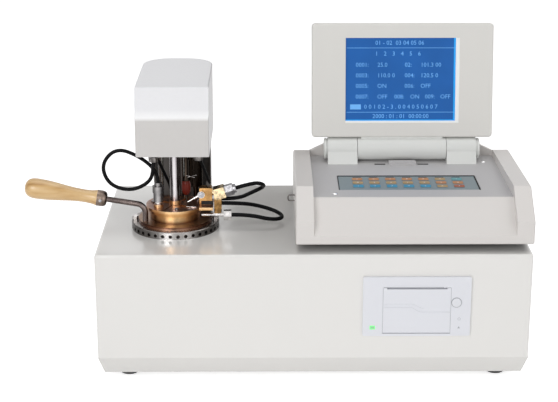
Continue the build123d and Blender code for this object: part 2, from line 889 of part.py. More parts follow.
# Hood: folded from one sheet, its front leaning back above the crease, open below.
front_face = cup_section.offset(-hood_front)
hood_side = Plane((cup_x - hood_width / 2, cup_y, deck_height), x_dir=(0, 1, 0), z_dir=(1, 0, 0))
hood_height = hood_top - hood_bottom
with BuildPart() as hood_core:
    with BuildSketch(cup_plane.offset(hood_bottom)):
        add(hood_outline(hood_wall))
    extrude(amount=hood_height - hood_wall)
    with BuildSketch(hood_side):
        with BuildLine():
            Polyline(
                (hood_front, hood_crease), (hood_front + hood_wall, hood_crease),
                (hood_front + hood_wall + hood_lean, hood_top), (hood_front, hood_top), close=True,
            )
        make_face()
    extrude(amount=hood_width, mode=Mode.SUBTRACT)
with BuildPart() as hood:
    with BuildSketch(cup_plane.offset(hood_bottom)):
        add(hood_outline(0))
    extrude(amount=hood_height)
    with BuildSketch(hood_side):
        with BuildLine():
            Polyline(
                (hood_front, hood_crease), (hood_front + hood_lean, hood_top),
                (hood_front, hood_top), close=True,
            )
        make_face()
    extrude(amount=hood_width, mode=Mode.SUBTRACT)
    front_corners = hood.faces().group_by(Axis.Y)[0].edges().filter_by(Axis.Z)
    roof_edges = hood.faces().sort_by(Axis.Z)[-1].edges()
    fillet(front_corners + roof_edges, radius=hood_fillet)
    add(hood_core.part, mode=Mode.SUBTRACT)
write(hood.part, "hood")

# Plate that closes the hood and carries everything that hangs over the cup.
with BuildPart() as head_plate:
    with BuildSketch(cup_plane.offset(plate_bottom)):
        add(hood_outline(hood_wall + running_gap))
        Circle(stirrer_radius + running_gap, mode=Mode.SUBTRACT)
    extrude(amount=plate_thickness)
write(head_plate.part, "head_plate")

with BuildPart() as stirrer_motor:
    with BuildSketch(cup_plane.offset(plate_top)):
        Circle(motor_radius)
        Circle(stirrer_radius + running_gap, mode=Mode.SUBTRACT)
    extrude(amount=19)
    with BuildSketch(cup_plane.offset(plate_top + 19)):
        Circle(motor_radius)
    extrude(amount=motor_height - 19)
write(stirrer_motor.part, "stirrer_motor")

# Column: a cover with a rounded back, open at the front, that slides through the deck.
with BuildPart() as column:
    with BuildSketch(cup_plane.offset(-column_below)):
        add(column_outline(column_radius, column_front))
        add(column_outline(column_radius - column_wall, column_front), mode=Mode.SUBTRACT)
    extrude(amount=plate_bottom + column_below)
write(column.part, "column")

# Carriage: a spine plate that closes the column's front, with two bearing blocks on the guide rods.
carriage_half = column_radius - column_wall - running_gap
guide_spots = [(column_x - guide_spacing / 2, guide_y), (column_x + guide_spacing / 2, guide_y)]
with BuildPart() as carriage:
    for bottom in (-column_below, -column_below + carriage_block + carriage_gap):
        with BuildSketch(cup_plane.offset(bottom)):
            add(column_outline(carriage_half, spine_front + spine_thickness))
            with Locations(*guide_spots):
                Circle(guide_radius + 0.05, mode=Mode.SUBTRACT)
            with Locations((column_x, actuator_y)):
                Circle(actuator_radius + 0.5, mode=Mode.SUBTRACT)
        extrude(amount=carriage_block)
    with BuildSketch(cup_plane.offset(-column_below)):
        with Locations((column_x, spine_front + spine_thickness / 2)):
            Rectangle(2 * carriage_half, spine_thickness)
    extrude(amount=plate_bottom + column_below)
write(carriage.part, "carriage")

with BuildPart() as guide_rods:
    with BuildSketch(cup_plane.offset(under_deck)):
        with Locations(*guide_spots):
            Circle(guide_radius)
    extrude(amount=guide_top - under_deck)
write(guide_rods.part, "guide_rods")

# Lift actuator: a fixed tube on the pan's floor and the rod that pushes the head's plate.
with BuildPart() as lift_actuator:
    with BuildSketch(cup_plane.offset(under_deck)):
        with Locations((column_x, actuator_y)):
            Circle(actuator_radius)
    extrude(amount=actuator_top - under_deck)
    with BuildSketch(cup_plane.offset(under_deck + 4)):
        with Locations((column_x, actuator_y)):
            Circle(actuator_rod_radius + 0.05)
    extrude(amount=actuator_top - under_deck, mode=Mode.SUBTRACT)
write(lift_actuator.part, "lift_actuator")

rod_bottom = under_deck + 6
with BuildPart() as actuator_rod:
    with BuildSketch(cup_plane.offset(rod_bottom)):
        with Locations((column_x, actuator_y)):
            Circle(actuator_rod_radius)
    extrude(amount=plate_bottom - rod_bottom)
write(actuator_rod.part, "actuator_rod")

# ---- Console ------------------------------------------------------------------------------------------

recess_back = console_tail_back + 2
seat = panel_height - panel_thickness
with BuildPart() as console_shell:
    with BuildSketch(console_side):
        with BuildLine():
            Polyline(
                (0, console_lift), (0, console_fold), (console_brow_back, console_brow),
                (console_tail_back, console_tail), (console_depth, console_rear),
                (console_depth, console_lift), close=True,
            )
        make_face()
    extrude(amount=console_width)
    fillet(console_shell.edges(), radius=console_fillet)
    with BuildSketch(recess_side):
        with BuildLine():
            Polyline(
                (0, front_wall_foot), (front_wall_back, panel_height), (panel_back, panel_height),
                (panel_back, seat), (recess_back, seat), (recess_back, 2 * panel_height),
                (0, 2 * panel_height), close=True,
            )
        make_face()
    extrude(amount=recess_width, mode=Mode.SUBTRACT)
    with BuildSketch(console_side.offset(console_wall)):
        with BuildLine():
            Polyline(
                (console_wall, console_lift), (console_wall, front_wall_foot - 1.3),
                (panel_back - 1.4, seat - 2), (console_depth - 2 * console_wall, seat - 2),
                (console_depth - console_wall, seat - 2 * console_wall),
                (console_depth - console_wall, console_lift), close=True,
            )
        make_face()
    extrude(amount=console_width - 2 * console_wall, mode=Mode.SUBTRACT)
    with BuildSketch(Plane((console_x, console_front + recess_back, deck_height), x_dir=(1, 0, 0), z_dir=(0, -1, 0))):
        with BuildLine():
            Polyline(
                (-recess_width / 2, console_rear), (-recess_width / 2, console_tail - 2),
                (cowl_slope - recess_width / 2, cowl_height), (recess_width / 2 - cowl_slope, cowl_height),
                (recess_width / 2, console_tail - 2), (recess_width / 2, console_rear), close=True,
            )
        make_face()
    extrude(amount=-cowl_thickness)
write(console_shell.part, "console_shell")

# Recessed panel that carries the keypad, the screen's hinge and its cable socket between two slots.
panel_depth = recess_back - panel_back
with BuildPart() as recess_panel:
    with BuildSketch(panel_plane.offset(-panel_thickness)):
        with Locations((fitting_shift, panel_back + panel_depth / 2)):
            Rectangle(recess_width, panel_depth)
    extrude(amount=panel_thickness)
    with BuildSketch(panel_plane.offset(-keypad_sink)):
        with Locations((0, keypad_centre_back)):
            Rectangle(keypad_width + 2 * slip, keypad_depth + 2 * slip)
    extrude(amount=panel_thickness, mode=Mode.SUBTRACT)
    with BuildSketch(panel_plane):
        with Locations((0, hinge_back - knuckle_foot)):
            Rectangle(socket_width, 9)
    extrude(amount=3.5)
    with BuildSketch(panel_plane):
        with Locations((-1, hinge_back - knuckle_foot)):
            with GridLocations(socket_width + 18, 0, 2, 1):
                Rectangle(12, 2.5)
    extrude(amount=-panel_thickness, mode=Mode.SUBTRACT)
write(recess_panel.part, "recess_panel")

# Keypad: one embossed membrane sheet.
with BuildPart() as keypad:
    with BuildSketch(panel_plane.offset(-keypad_sink)):
        with Locations((0, keypad_centre_back)):
            Rectangle(keypad_width, keypad_depth)
    extrude(amount=keypad_thickness)
    with BuildSketch(panel_plane.offset(keypad_thickness - keypad_sink)):
        with Locations((0, keypad_centre_back)):
            with GridLocations(key_pitch_x, key_pitch_y, key_columns, key_rows):
                RectangleRounded(key_width, key_depth, 1.5)
    extrude(amount=key_rise)
write(keypad.part, "keypad")

# Console base: a plate between the shell's walls, on four feet that stand on the deck.
console_middle = Plane((console_x, console_front + console_depth / 2, deck_height))
with BuildPart() as console_base:
    with BuildSketch(console_middle.offset(console_lift)):
        Rectangle(console_width - 2 * console_wall, console_depth - 2 * console_wall)
    extrude(amount=console_wall)
    with BuildSketch(console_middle):
        with GridLocations(console_width - 60, console_depth - 60, 2, 2):
            Circle(7)
    extrude(amount=console_lift)
write(console_base.part, "console_base")

# ---- Screen and its hinge -------------------------------------------------------------------------------

hinge_plane = Plane((fitting_x, hinge_y, hinge_z), x_dir=(0, 1, 0), z_dir=(1, 0, 0))
knuckle_start = barrel_length / 2 + 0.5
knuckle_drop = hinge_height - panel_height
pin_half = barrel_length / 2 + 20
with BuildPart() as hinge_knuckles:
    for start in (knuckle_start, -knuckle_start - knuckle_width):
        with BuildSketch(hinge_plane.offset(start)):
            Circle(hinge_radius)
            with BuildLine():
                Polyline(
                    (-knuckle_foot, -knuckle_drop), (hinge_radius, -knuckle_drop), (hinge_radius, 0),
                    (-hinge_radius * sin(radians(45)), hinge_radius * cos(radians(45))), close=True,
                )
            make_face()
        extrude(amount=knuckle_width)
    with BuildSketch(hinge_plane.offset(-pin_half)):
        Circle(hinge_pin_radius + running_gap)
    extrude(amount=2 * pin_half, mode=Mode.SUBTRACT)
write(hinge_knuckles.part, "hinge_knuckles")

with BuildPart() as hinge_pin:
    with BuildSketch(hinge_plane.offset(-pin_half)):
        Circle(hinge_pin_radius)
    extrude(amount=2 * pin_half)
write(hinge_pin.part, "hinge_pin")

with BuildPart() as hinge_barrel:
    with BuildSketch(hinge_plane.offset(-barrel_length / 2)):
        Circle(hinge_radius)
    extrude(amount=barrel_length)
    with BuildSketch(screen_plane):
        with Locations((0, screen_gap / 2)):
            Rectangle(barrel_length - 8, screen_gap)
    extrude(amount=6, both=True)
    with BuildSketch(hinge_plane.offset(-barrel_length / 2)):
        Circle(hinge_pin_radius)
    extrude(amount=barrel_length, mode=Mode.SUBTRACT)
write(hinge_barrel.part, "hinge_barrel")

with BuildPart() as screen_bezel:
    with BuildSketch(screen_plane):
        with Locations((0, screen_middle)):
            RectangleRounded(screen_width, screen_height, 4)
    extrude(amount=bezel_depth)
    fillet(screen_bezel.faces().filter_by(lambda face: face.normal_at().dot(screen_plane.z_dir) > 0.99).edges(), 2)
    with BuildSketch(screen_plane):
        with Locations((0, screen_middle)):
            Rectangle(window_width, window_height)
    extrude(amount=bezel_depth, mode=Mode.SUBTRACT)
    with BuildSketch(screen_plane):
        with Locations((0, screen_middle)):
            Rectangle(lcd_width, lcd_height)
    extrude(amount=lcd_thickness, mode=Mode.SUBTRACT)
write(screen_bezel.part, "screen_bezel")

with BuildPart() as lcd_panel:
    with BuildSketch(screen_plane):
        with Locations((0, screen_middle)):
            Rectangle(lcd_width, lcd_height)
    extrude(amount=lcd_thickness)
write(lcd_panel.part, "lcd_panel")

with BuildPart() as screen_back:
    with BuildSketch(screen_plane):
        with Locations((0, screen_middle)):
            RectangleRounded(screen_width, screen_height, 4)
    extrude(amount=-back_depth)
    fillet(screen_back.faces().filter_by(lambda face: face.normal_at().dot(screen_plane.z_dir) < -0.99).edges(), 3.5)
    with BuildSketch(screen_plane):
        with Locations((0, screen_middle)):
            Rectangle(screen_width - 2 * screen_skin, screen_height - 2 * screen_skin)
    extrude(amount=screen_skin - back_depth, mode=Mode.SUBTRACT)
write(screen_back.part, "screen_back")

# ---- Printer ----------------------------------------------------------------------------------------------

door_middle = (door_top + door_bottom) / 2 - printer_z
door_height = door_top - door_bottom
button_depth = 6
with BuildPart() as printer_body:
    with BuildSketch(front_plane):
        RectangleRounded(printer_width, printer_height, 2)
    extrude(amount=printer_proud)
    with BuildSketch(front_plane):
        Rectangle(chassis_width, chassis_height)
    extrude(amount=-chassis_depth)
    with BuildSketch(front_plane.offset(printer_proud)):
        with Locations((0, door_middle)):
            Rectangle(door_width + 2 * slip, door_height + 2 * slip)
    extrude(amount=-door_thickness - slip, mode=Mode.SUBTRACT)
    with BuildSketch(front_plane):
        with Locations((0, door_middle)):
            Rectangle(bay_width, bay_height)
    extrude(amount=-bay_depth, mode=Mode.SUBTRACT)
    with BuildSketch(front_plane.offset(printer_proud)):
        with Locations((button_x, button_z)):
            Circle(button_radius + slip)
    extrude(amount=-printer_proud - button_depth, mode=Mode.SUBTRACT)
    with BuildSketch(front_plane.offset(printer_proud)):
        with Locations((lamp_x, lamp_z)):
            Rectangle(lamp_width, lamp_height)
    extrude(amount=-2, mode=Mode.SUBTRACT)
write(printer_body.part, "printer_body")

with BuildPart() as printer_lamp:
    with BuildSketch(front_plane.offset(printer_proud + 0.4)):
        with Locations((lamp_x, lamp_z)):
            Rectangle(lamp_width, lamp_height)
    extrude(amount=-2.4)
write(printer_lamp.part, "printer_lamp")

# Door: a flat plate hinged along its lower edge, with the paper slot in its top edge.
with BuildPart() as printer_door:
    with BuildSketch(front_plane.offset(printer_proud)):
        with Locations((0, door_middle)):
            Rectangle(door_width, door_height)
        with Locations((0, door_middle + door_height / 2)):
            Rectangle(bay_width, 2 * slot_height, mode=Mode.SUBTRACT)
    extrude(amount=-door_thickness)
    lower_edges = printer_door.edges().filter_by(Axis.X).group_by(Axis.Z)[0]
    fillet(lower_edges, radius=0.49 * door_thickness)
write(printer_door.part, "printer_door")

roll_z = printer_z + door_middle - bay_height / 2 + roll_radius
with BuildPart() as paper_roll:
    with BuildSketch(Plane((printer_x, base_front + roll_back, roll_z), x_dir=(0, 1, 0), z_dir=(1, 0, 0))):
        Circle(roll_radius)
        Circle(6, mode=Mode.SUBTRACT)
    extrude(amount=roll_width / 2, both=True)
write(paper_roll.part, "paper_roll")

with BuildPart() as printer_button:
    with BuildSketch(front_plane.offset(printer_proud + button_proud)):
        with Locations((button_x, button_z)):
            Circle(button_radius)
    extrude(amount=2 - printer_proud - button_proud - button_depth)
    fillet(printer_button.edges().group_by(Axis.Y)[0], radius=0.6)
write(printer_button.part, "printer_button")

# ---- Rear fittings ------------------------------------------------------------------------------------------

fan_plane = rear_plane.offset(-sheet)
with BuildPart() as fan_housing:
    with BuildSketch(fan_plane):
        with Locations((-fan_x, fan_z)):
            RectangleRounded(fan_size, fan_size, 3)
            Circle(fan_bore_radius, mode=Mode.SUBTRACT)
    extrude(amount=-fan_depth)
    with BuildSketch(fan_plane.offset(-fan_depth)):
        with Locations((-fan_x, fan_z)):
            Circle(fan_hub_radius)
            with PolarLocations((fan_bore_radius + fan_hub_radius) / 2, 3, start_angle=90):
                Rectangle(fan_bore_radius - fan_hub_radius + 2, 3)
    extrude(amount=2)
write(fan_housing.part, "fan_housing")

with BuildPart() as fan_rotor:
    with BuildSketch(fan_plane.offset(2 - fan_depth)):
        with Locations((-fan_x, fan_z)):
            Circle(fan_hub_radius)
    extrude(amount=fan_depth - 3)
    with Locations(fan_plane.offset(-fan_depth / 2 + 0.5)):
        with Locations((-fan_x, fan_z)):
            with PolarLocations((fan_bore_radius + fan_hub_radius) / 2 - 1.2, fan_blades):
                Box(fan_bore_radius - fan_hub_radius, 11, 1.2, rotation=(38, 0, 0))
write(fan_rotor.part, "fan_rotor")

# Mains inlet with its three contacts and a power rocker above it.
rocker_z = inlet_z + 0.3 * inlet_height
socket_z = inlet_z - 0.16 * inlet_height
with BuildPart() as power_inlet:
    with BuildSketch(rear_plane):
        with Locations((-inlet_x, inlet_z)):
            RectangleRounded(inlet_width, inlet_height, 3)
    extrude(amount=inlet_flange)
    with BuildSketch(rear_plane):
        with Locations((-inlet_x, inlet_z)):
            Rectangle(inlet_width - 9, inlet_height - 9)
    extrude(amount=-26)
    with BuildSketch(rear_plane.offset(inlet_flange)):
        with Locations((-inlet_x, socket_z)):
            Rectangle(24.4, 16.6)
    extrude(amount=-inlet_flange - 16, mode=Mode.SUBTRACT)
    with BuildSketch(rear_plane.offset(inlet_flange - 3)):
        with Locations((-inlet_x - 7, socket_z - 2), (-inlet_x, socket_z + 2), (-inlet_x + 7, socket_z - 2)):
            Rectangle(2, 5)
    extrude(until=Until.PREVIOUS)
    with BuildSketch(rear_plane.offset(inlet_flange)):
        with Locations((-inlet_x, rocker_z)):
            Rectangle(rocker_width + 2 * slip, rocker_height + 1.2)
    extrude(amount=-inlet_flange - 10, mode=Mode.SUBTRACT)
write(power_inlet.part, "power_inlet")

# Rocker: a half-round body with a two-way face, turning about its middle.
rocker_plane = Plane((base_x + inlet_x, base_back, rocker_z), x_dir=(0, 1, 0), z_dir=(1, 0, 0))
rocker_half = rocker_height / 2 - 0.3
with BuildPart() as power_rocker:
    with BuildSketch(rocker_plane):
        Circle(rocker_half)
        with BuildLine():
            Polyline((0, -rocker_half), (2.2, -rocker_half), (2.9, 0), (5, rocker_half), (0, rocker_half), close=True)
        make_face()
    extrude(amount=rocker_width / 2, both=True)
write(power_rocker.part, "power_rocker")

# Gas inlet: a bulkhead nut with a plain hose stub.
with BuildPart() as gas_inlet:
    with BuildSketch(rear_plane):
        with Locations((-gas_x, gas_z)):
            RegularPolygon(gas_nozzle_radius + 5, 6)
    extrude(amount=5)
    with BuildSketch(rear_plane):
        with Locations((-gas_x, gas_z)):
            Circle(gas_nozzle_radius + 1.9)
    extrude(amount=-14)
    with BuildSketch(rear_plane.offset(5)):
        with Locations((-gas_x, gas_z)):
            Circle(gas_nozzle_radius)
    extrude(amount=gas_nozzle_length)
    with BuildSketch(rear_plane.offset(5 + gas_nozzle_length)):
        with Locations((-gas_x, gas_z)):
            Circle(gas_nozzle_radius / 2)
    extrude(amount=-gas_nozzle_length, mode=Mode.SUBTRACT)
write(gas_inlet.part, "gas_inlet")
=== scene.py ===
import json
from math import cos, pi, radians, sin

import bmesh
import bpy
from mathutils import Matrix, Vector


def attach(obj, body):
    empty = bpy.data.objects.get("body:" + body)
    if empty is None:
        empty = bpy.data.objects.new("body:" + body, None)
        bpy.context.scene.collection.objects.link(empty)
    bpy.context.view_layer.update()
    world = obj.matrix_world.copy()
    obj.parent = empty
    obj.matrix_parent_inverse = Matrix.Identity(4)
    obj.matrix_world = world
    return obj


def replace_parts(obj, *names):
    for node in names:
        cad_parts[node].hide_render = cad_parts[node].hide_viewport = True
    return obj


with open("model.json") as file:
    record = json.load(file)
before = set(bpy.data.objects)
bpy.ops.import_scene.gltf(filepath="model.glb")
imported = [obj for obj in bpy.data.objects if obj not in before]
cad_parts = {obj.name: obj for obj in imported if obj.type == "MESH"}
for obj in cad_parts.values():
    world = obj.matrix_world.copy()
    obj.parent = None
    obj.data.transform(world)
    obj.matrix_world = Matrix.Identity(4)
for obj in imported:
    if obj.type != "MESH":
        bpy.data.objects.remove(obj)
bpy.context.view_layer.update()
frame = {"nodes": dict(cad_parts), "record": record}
nodes = frame["nodes"]

# ---- Places in the frame -------------------------------------------------------------------------
# These repeat the places in part.py that the pieces below are built on, in millimetres.

MM = 0.001
TILT = radians(10)               # of the screen, back from upright


def place(origin, x=(1, 0, 0), y=(0, 1, 0)):
    """A local frame in millimetres: x to the right, y up the face and z out of it."""
    across, up = Vector(x), Vector(y)
    out = across.cross(up)
    matrix = Matrix((across, up, out)).transposed().to_4x4()
    matrix.translation = Vector(origin) * MM
    return matrix @ Matrix.Scale(MM, 4)


UP = (0, 0, 1)
CUP = (-107, -34.9, 142)         # cup axis at deck height
HINGE = (143, 52.1, 204)         # middle of the screen's hinge axis
AT_CUP = place(CUP)
CUP_FRONT = place(CUP, y=UP)                                 # the same, seen from the front
ON_PANEL = place((143, -119.4, 190.5))                       # console panel, from its front edge
ON_SCREEN = place(HINGE, y=(0, sin(TILT), cos(TILT)))        # screen, from its hinge
ON_PRINTER = place((146.4, -128.9, 86.3), y=UP)              # front panel, at the printer's centre
AT_HINGE = place(HINGE, x=UP)                                # z runs to the left along the hinge

# ---- Camera, light and world ---------------------------------------------------------------------

LOOK_DOWN = 17.92                # degrees below level
TURN_RIGHT = -0.0063             # radians

camera_data = bpy.data.cameras.new("camera")
camera_data.sensor_width = 36    # with the lens, in millimetres
camera_data.lens = 93.62
camera = bpy.data.objects.new("camera", camera_data)
camera.location = (-0.0046, -1.5218, 0.6507)
camera.rotation_euler = (radians(90 - LOOK_DOWN), 0, TURN_RIGHT)
bpy.context.scene.collection.objects.link(camera)
bpy.context.scene.camera = camera
bpy.context.scene.view_settings.view_transform = "Standard"


def seen_directly(tree):
    """1 for camera, glossy and transmission rays, and 0 for all others."""
    path = tree.nodes.new("ShaderNodeLightPath")
    first = tree.nodes.new("ShaderNodeMath")
    first.operation = "MAXIMUM"
    second = tree.nodes.new("ShaderNodeMath")
    second.operation = "MAXIMUM"
    tree.links.new(path.outputs["Is Camera Ray"], first.inputs[0])
    tree.links.new(path.outputs["Is Glossy Ray"], first.inputs[1])
    tree.links.new(first.outputs[0], second.inputs[0])
    tree.links.new(path.outputs["Is Transmission Ray"], second.inputs[1])
    return second.outputs[0]


DOME = 0.34                      # even light on the object from all sides
FLOOR_GLOW = 0.66                # lifts the floor to white where it is seen, and spares its shadow
AIM = (0, 0, 0.1)                # where every lamp points

world = bpy.data.worlds.new("studio")
bpy.context.scene.world = world
world.use_nodes = True
sky = world.node_tree
dome = sky.nodes["Background"]
dome.inputs["Color"].default_value = (1, 1, 1, 1)
dome.inputs["Strength"].default_value = DOME
white = sky.nodes.new("ShaderNodeBackground")
white.inputs["Color"].default_value = (1, 1, 1, 1)
white.inputs["Strength"].default_value = 1
backdrop = sky.nodes.new("ShaderNodeMixShader")
sky.links.new(seen_directly(sky), backdrop.inputs["Fac"])
sky.links.new(dome.outputs[0], backdrop.inputs[1])
sky.links.new(white.outputs[0], backdrop.inputs[2])
sky.links.new(backdrop.outputs[0], sky.nodes["World Output"].inputs["Surface"])


def lamp(name, location, size, power):
    """A square lamp; its size is in metres and its power in watts."""
    light = bpy.data.lights.new(name, "AREA")
    light.size = size
    light.energy = power
    holder = bpy.data.objects.new(name, light)
    holder.location = location
    holder.rotation_euler = (Vector(AIM) - Vector(location)).to_track_quat("-Z", "Y").to_euler()
    bpy.context.scene.collection.objects.link(holder)


lamp("key", (-0.9, -2.0, 0.95), 1.1, 19)
lamp("fill", (1.3, -1.8, 0.7), 1.2, 7)
lamp("top", (-0.1, 0.1, 2.0), 1.4, 8)
lamp("right", (1.2, 0.25, 1.5), 0.9, 4.5)

# ---- Materials -----------------------------------------------------------------------------------


def surface(name, color, roughness, metallic=0.0, **values):
    """A material with its shader; values are constants set on the shader's own sockets."""
    material = bpy.data.materials.new(name)
    material.use_nodes = True
    tree = material.node_tree
    shader = tree.nodes["Principled BSDF"]
    shader.inputs["Base Color"].default_value = (*color, 1)
    shader.inputs["Roughness"].default_value = roughness
    shader.inputs["Metallic"].default_value = metallic
    for socket, value in values.items():
        shader.inputs[socket.replace("_", " ").title().replace("Ior", "IOR")].default_value = value
    return material, tree, shader


def noise(tree, scale, detail, stretch=(1, 1, 1)):
    """Noise in object coordinates, so it keeps its real scale and stays on the piece."""
    coordinates = tree.nodes.new("ShaderNodeTexCoord")
    mapping = tree.nodes.new("ShaderNodeMapping")
    mapping.inputs["Scale"].default_value = stretch
    texture = tree.nodes.new("ShaderNodeTexNoise")
    texture.inputs["Scale"].default_value = scale
    texture.inputs["Detail"].default_value = detail
    tree.links.new(coordinates.outputs["Object"], mapping.inputs["Vector"])
    tree.links.new(mapping.outputs["Vector"], texture.inputs["Vector"])
    return texture.outputs["Fac"]


def ramp(tree, factor, stops):
    """The factor turned into a colour, through (position, colour) stops."""
    node = tree.nodes.new("ShaderNodeValToRGB")
    band = node.color_ramp
    band.elements[0].position, band.elements[1].position = stops[0][0], stops[-1][0]
    band.elements[0].color = (*stops[0][1], 1)
    band.elements[1].color = (*stops[-1][1], 1)
    for position, color in stops[1:-1]:
        band.elements.new(position).color = (*color, 1)
    tree.links.new(factor, node.inputs["Fac"])
    return node.outputs["Color"]


def scaled(color, factor):
    """The colour made darker or lighter."""
    return tuple(min(1, part * factor) for part in color)


def grey(value):
    return (value, value, value)


def add_bump(tree, shader, height, strength, distance=0.0002):
    """A fine relief in the shader's normal, with the distance in metres."""
    bump = tree.nodes.new("ShaderNodeBump")
    bump.inputs["Strength"].default_value = strength
    bump.inputs["Distance"].default_value = distance
    tree.links.new(height, bump.inputs["Height"])
    tree.links.new(bump.outputs["Normal"], shader.inputs["Normal"])


COLOR_A, COLOR_B, COLOR_OUT = 6, 7, 2      # a Mix node's colour sockets


def multiplied(tree, first, second):
    """The product of two colours."""
    product = tree.nodes.new("ShaderNodeMix")
    product.data_type = "RGBA"
    product.blend_type = "MULTIPLY"
    product.inputs["Factor"].default_value = 1
    tree.links.new(first, product.inputs[COLOR_A])
    tree.links.new(second, product.inputs[COLOR_B])
    return product.outputs[COLOR_OUT]


def blended(tree, factor, first, second):
    """The first colour where the factor is 0, and the second where it is 1."""
    blend = tree.nodes.new("ShaderNodeMix")
    blend.data_type = "RGBA"
    tree.links.new(factor, blend.inputs["Factor"])
    tree.links.new(first, blend.inputs[COLOR_A])
    tree.links.new(second, blend.inputs[COLOR_B])
    return blend.outputs[COLOR_OUT]


def facing(tree, axis, operation="ABSOLUTE", by=1):
    """How far a face points along one of the piece's own axes: both ways, or times by with MULTIPLY."""
    coordinates = tree.nodes.new("ShaderNodeTexCoord")
    split = tree.nodes.new("ShaderNodeSeparateXYZ")
    tree.links.new(coordinates.outputs["Normal"], split.inputs[0])
    size = tree.nodes.new("ShaderNodeMath")
    size.operation = operation
    size.inputs[1].default_value = by
    tree.links.new(split.outputs[axis], size.inputs[0])
    return size.outputs[0]


def ahead(tree, low, high):
    """0 on faces that point away from the front or across it, rising to 1 on those that point forward."""
    return ramp(tree, facing(tree, "Y", "MULTIPLY", -1), [(low, grey(0)), (high, grey(1))])


def heights(tree, stops):
    """A tint by height in metres, through (height, colour) stops."""
    coordinates = tree.nodes.new("ShaderNodeTexCoord")
    split = tree.nodes.new("ShaderNodeSeparateXYZ")
    tree.links.new(coordinates.outputs["Object"], split.inputs[0])
    return ramp(tree, split.outputs["Z"], stops)


def paint(name, color, roughness=0.35, grain=900, depth=0.1, wear=0.006, **values):
    """Sprayed paint or moulded plastic: a fine peel, faint tone drift and uneven gloss."""
    material, tree, shader = surface(name, color, roughness, **values)
    tones = [(0.2, scaled(color, 1 - wear)), (0.8, scaled(color, 1 + wear / 2))]
    tree.links.new(ramp(tree, noise(tree, 260, 2), tones), shader.inputs["Base Color"])
    gloss = [(0.2, grey(roughness - 0.006)), (0.8, grey(roughness + 0.008))]
    tree.links.new(ramp(tree, noise(tree, 320, 1), gloss), shader.inputs["Roughness"])
    add_bump(tree, shader, noise(tree, grain, 2), depth)
    return material


UPRIGHT = (1, 1, 0.06)           # draws tarnish, and the column's painted shade, out into upright bands
ALONG_Z = (8, 8, 1)              # draws streaks out along z


def metal(
    name, color, roughness=0.25, stretch=(1, 1, 1), patina=0.25, patch=60, run=(1, 1, 1),
    flanks=None, crown=None, lit_side=None, edge=(1, 1, 1),
):
    """Machined or drawn metal: streaks along one direction, and patches of tarnish drawn out by run.

    Flanks paints shade on the faces that point left or right, crown on those that point up, lit_side
    on all but those that point a little to the right, and edge tints the glancing gloss.
    """
    material, tree, shader = surface(name, color, roughness, 1, specular_tint=(*edge, 1))
    tones = [(0.34, scaled(color, 1 - patina)), (0.5, color), (0.66, scaled(color, 1 + patina))]
    tint = ramp(tree, noise(tree, patch, 4, run), tones)
    # Painted shade by facing, from flanks, lit_side and crown in turn.
    if flanks:
        bands = [(0.15, grey(1)), (0.55, flanks), (0.85, scaled(flanks, 0.7)), (1.0, scaled(flanks, 1.3))]
        tint = multiplied(tree, tint, ramp(tree, facing(tree, "X"), bands))
    if lit_side:
        bands = [(0.1, lit_side), (0.3, grey(1)), (0.7, grey(0.8)), (0.9, lit_side)]
        tint = multiplied(tree, tint, ramp(tree, facing(tree, "X", "MULTIPLY"), bands))
    if crown:
        bands = [(0.3, grey(1)), (0.9, crown)]
        tint = multiplied(tree, tint, ramp(tree, facing(tree, "Z", "MULTIPLY"), bands))
    tree.links.new(tint, shader.inputs["Base Color"])
    streak = noise(tree, 400, 4, stretch)
    gloss = [(0.3, grey(max(0.04, roughness - 0.08))), (0.7, grey(roughness + 0.12))]
    tree.links.new(ramp(tree, streak, gloss), shader.inputs["Roughness"])
    add_bump(tree, shader, streak, 0.08)
    return material


def rubber(name, color, roughness, gloss=0.5):
    """Rubber or matt black plastic: mottled, with a fine grain."""
    material, tree, shader = surface(name, color, roughness, specular_ior_level=gloss)
    tones = [(0.3, scaled(color, 0.7)), (0.7, scaled(color, 1.4))]
    tree.links.new(ramp(tree, noise(tree, 120, 3), tones), shader.inputs["Base Color"])
    add_bump(tree, shader, noise(tree, 1500, 2), 0.15)
    return material


def wood(name):
    """Turned and varnished wood: long grain along the grip with darker pores."""
    material, tree, shader = surface(name, (0.60, 0.40, 0.20), 0.35, coat_weight=0.5, coat_roughness=0.2)
    tones = [
        (0.28, (0.40, 0.21, 0.06)), (0.42, (0.58, 0.35, 0.13)), (0.58, (0.69, 0.46, 0.21)),
        (0.75, (0.76, 0.55, 0.28)),
    ]
    tree.links.new(ramp(tree, noise(tree, 55, 6, (0.22, 2.6, 2.6)), tones), shader.inputs["Base Color"])
    add_bump(tree, shader, noise(tree, 300, 3, (0.1, 3, 3)), 0.15, 0.0003)
    return material


def glowing(name, color, strength, roughness=0.2):
    """A lit window: its own light through a faintly uneven face."""
    material, tree, shader = surface(
        name, color, roughness, emission_strength=strength, specular_ior_level=0.2,
    )
    tones = [(0.3, scaled(color, 0.93)), (0.7, scaled(color, 1.05))]
    tint = ramp(tree, noise(tree, 30, 2), tones)
    tree.links.new(tint, shader.inputs["Base Color"])
    tree.links.new(tint, shader.inputs["Emission Color"])
    add_bump(tree, shader, noise(tree, 2500, 1), 0.04)
    return material


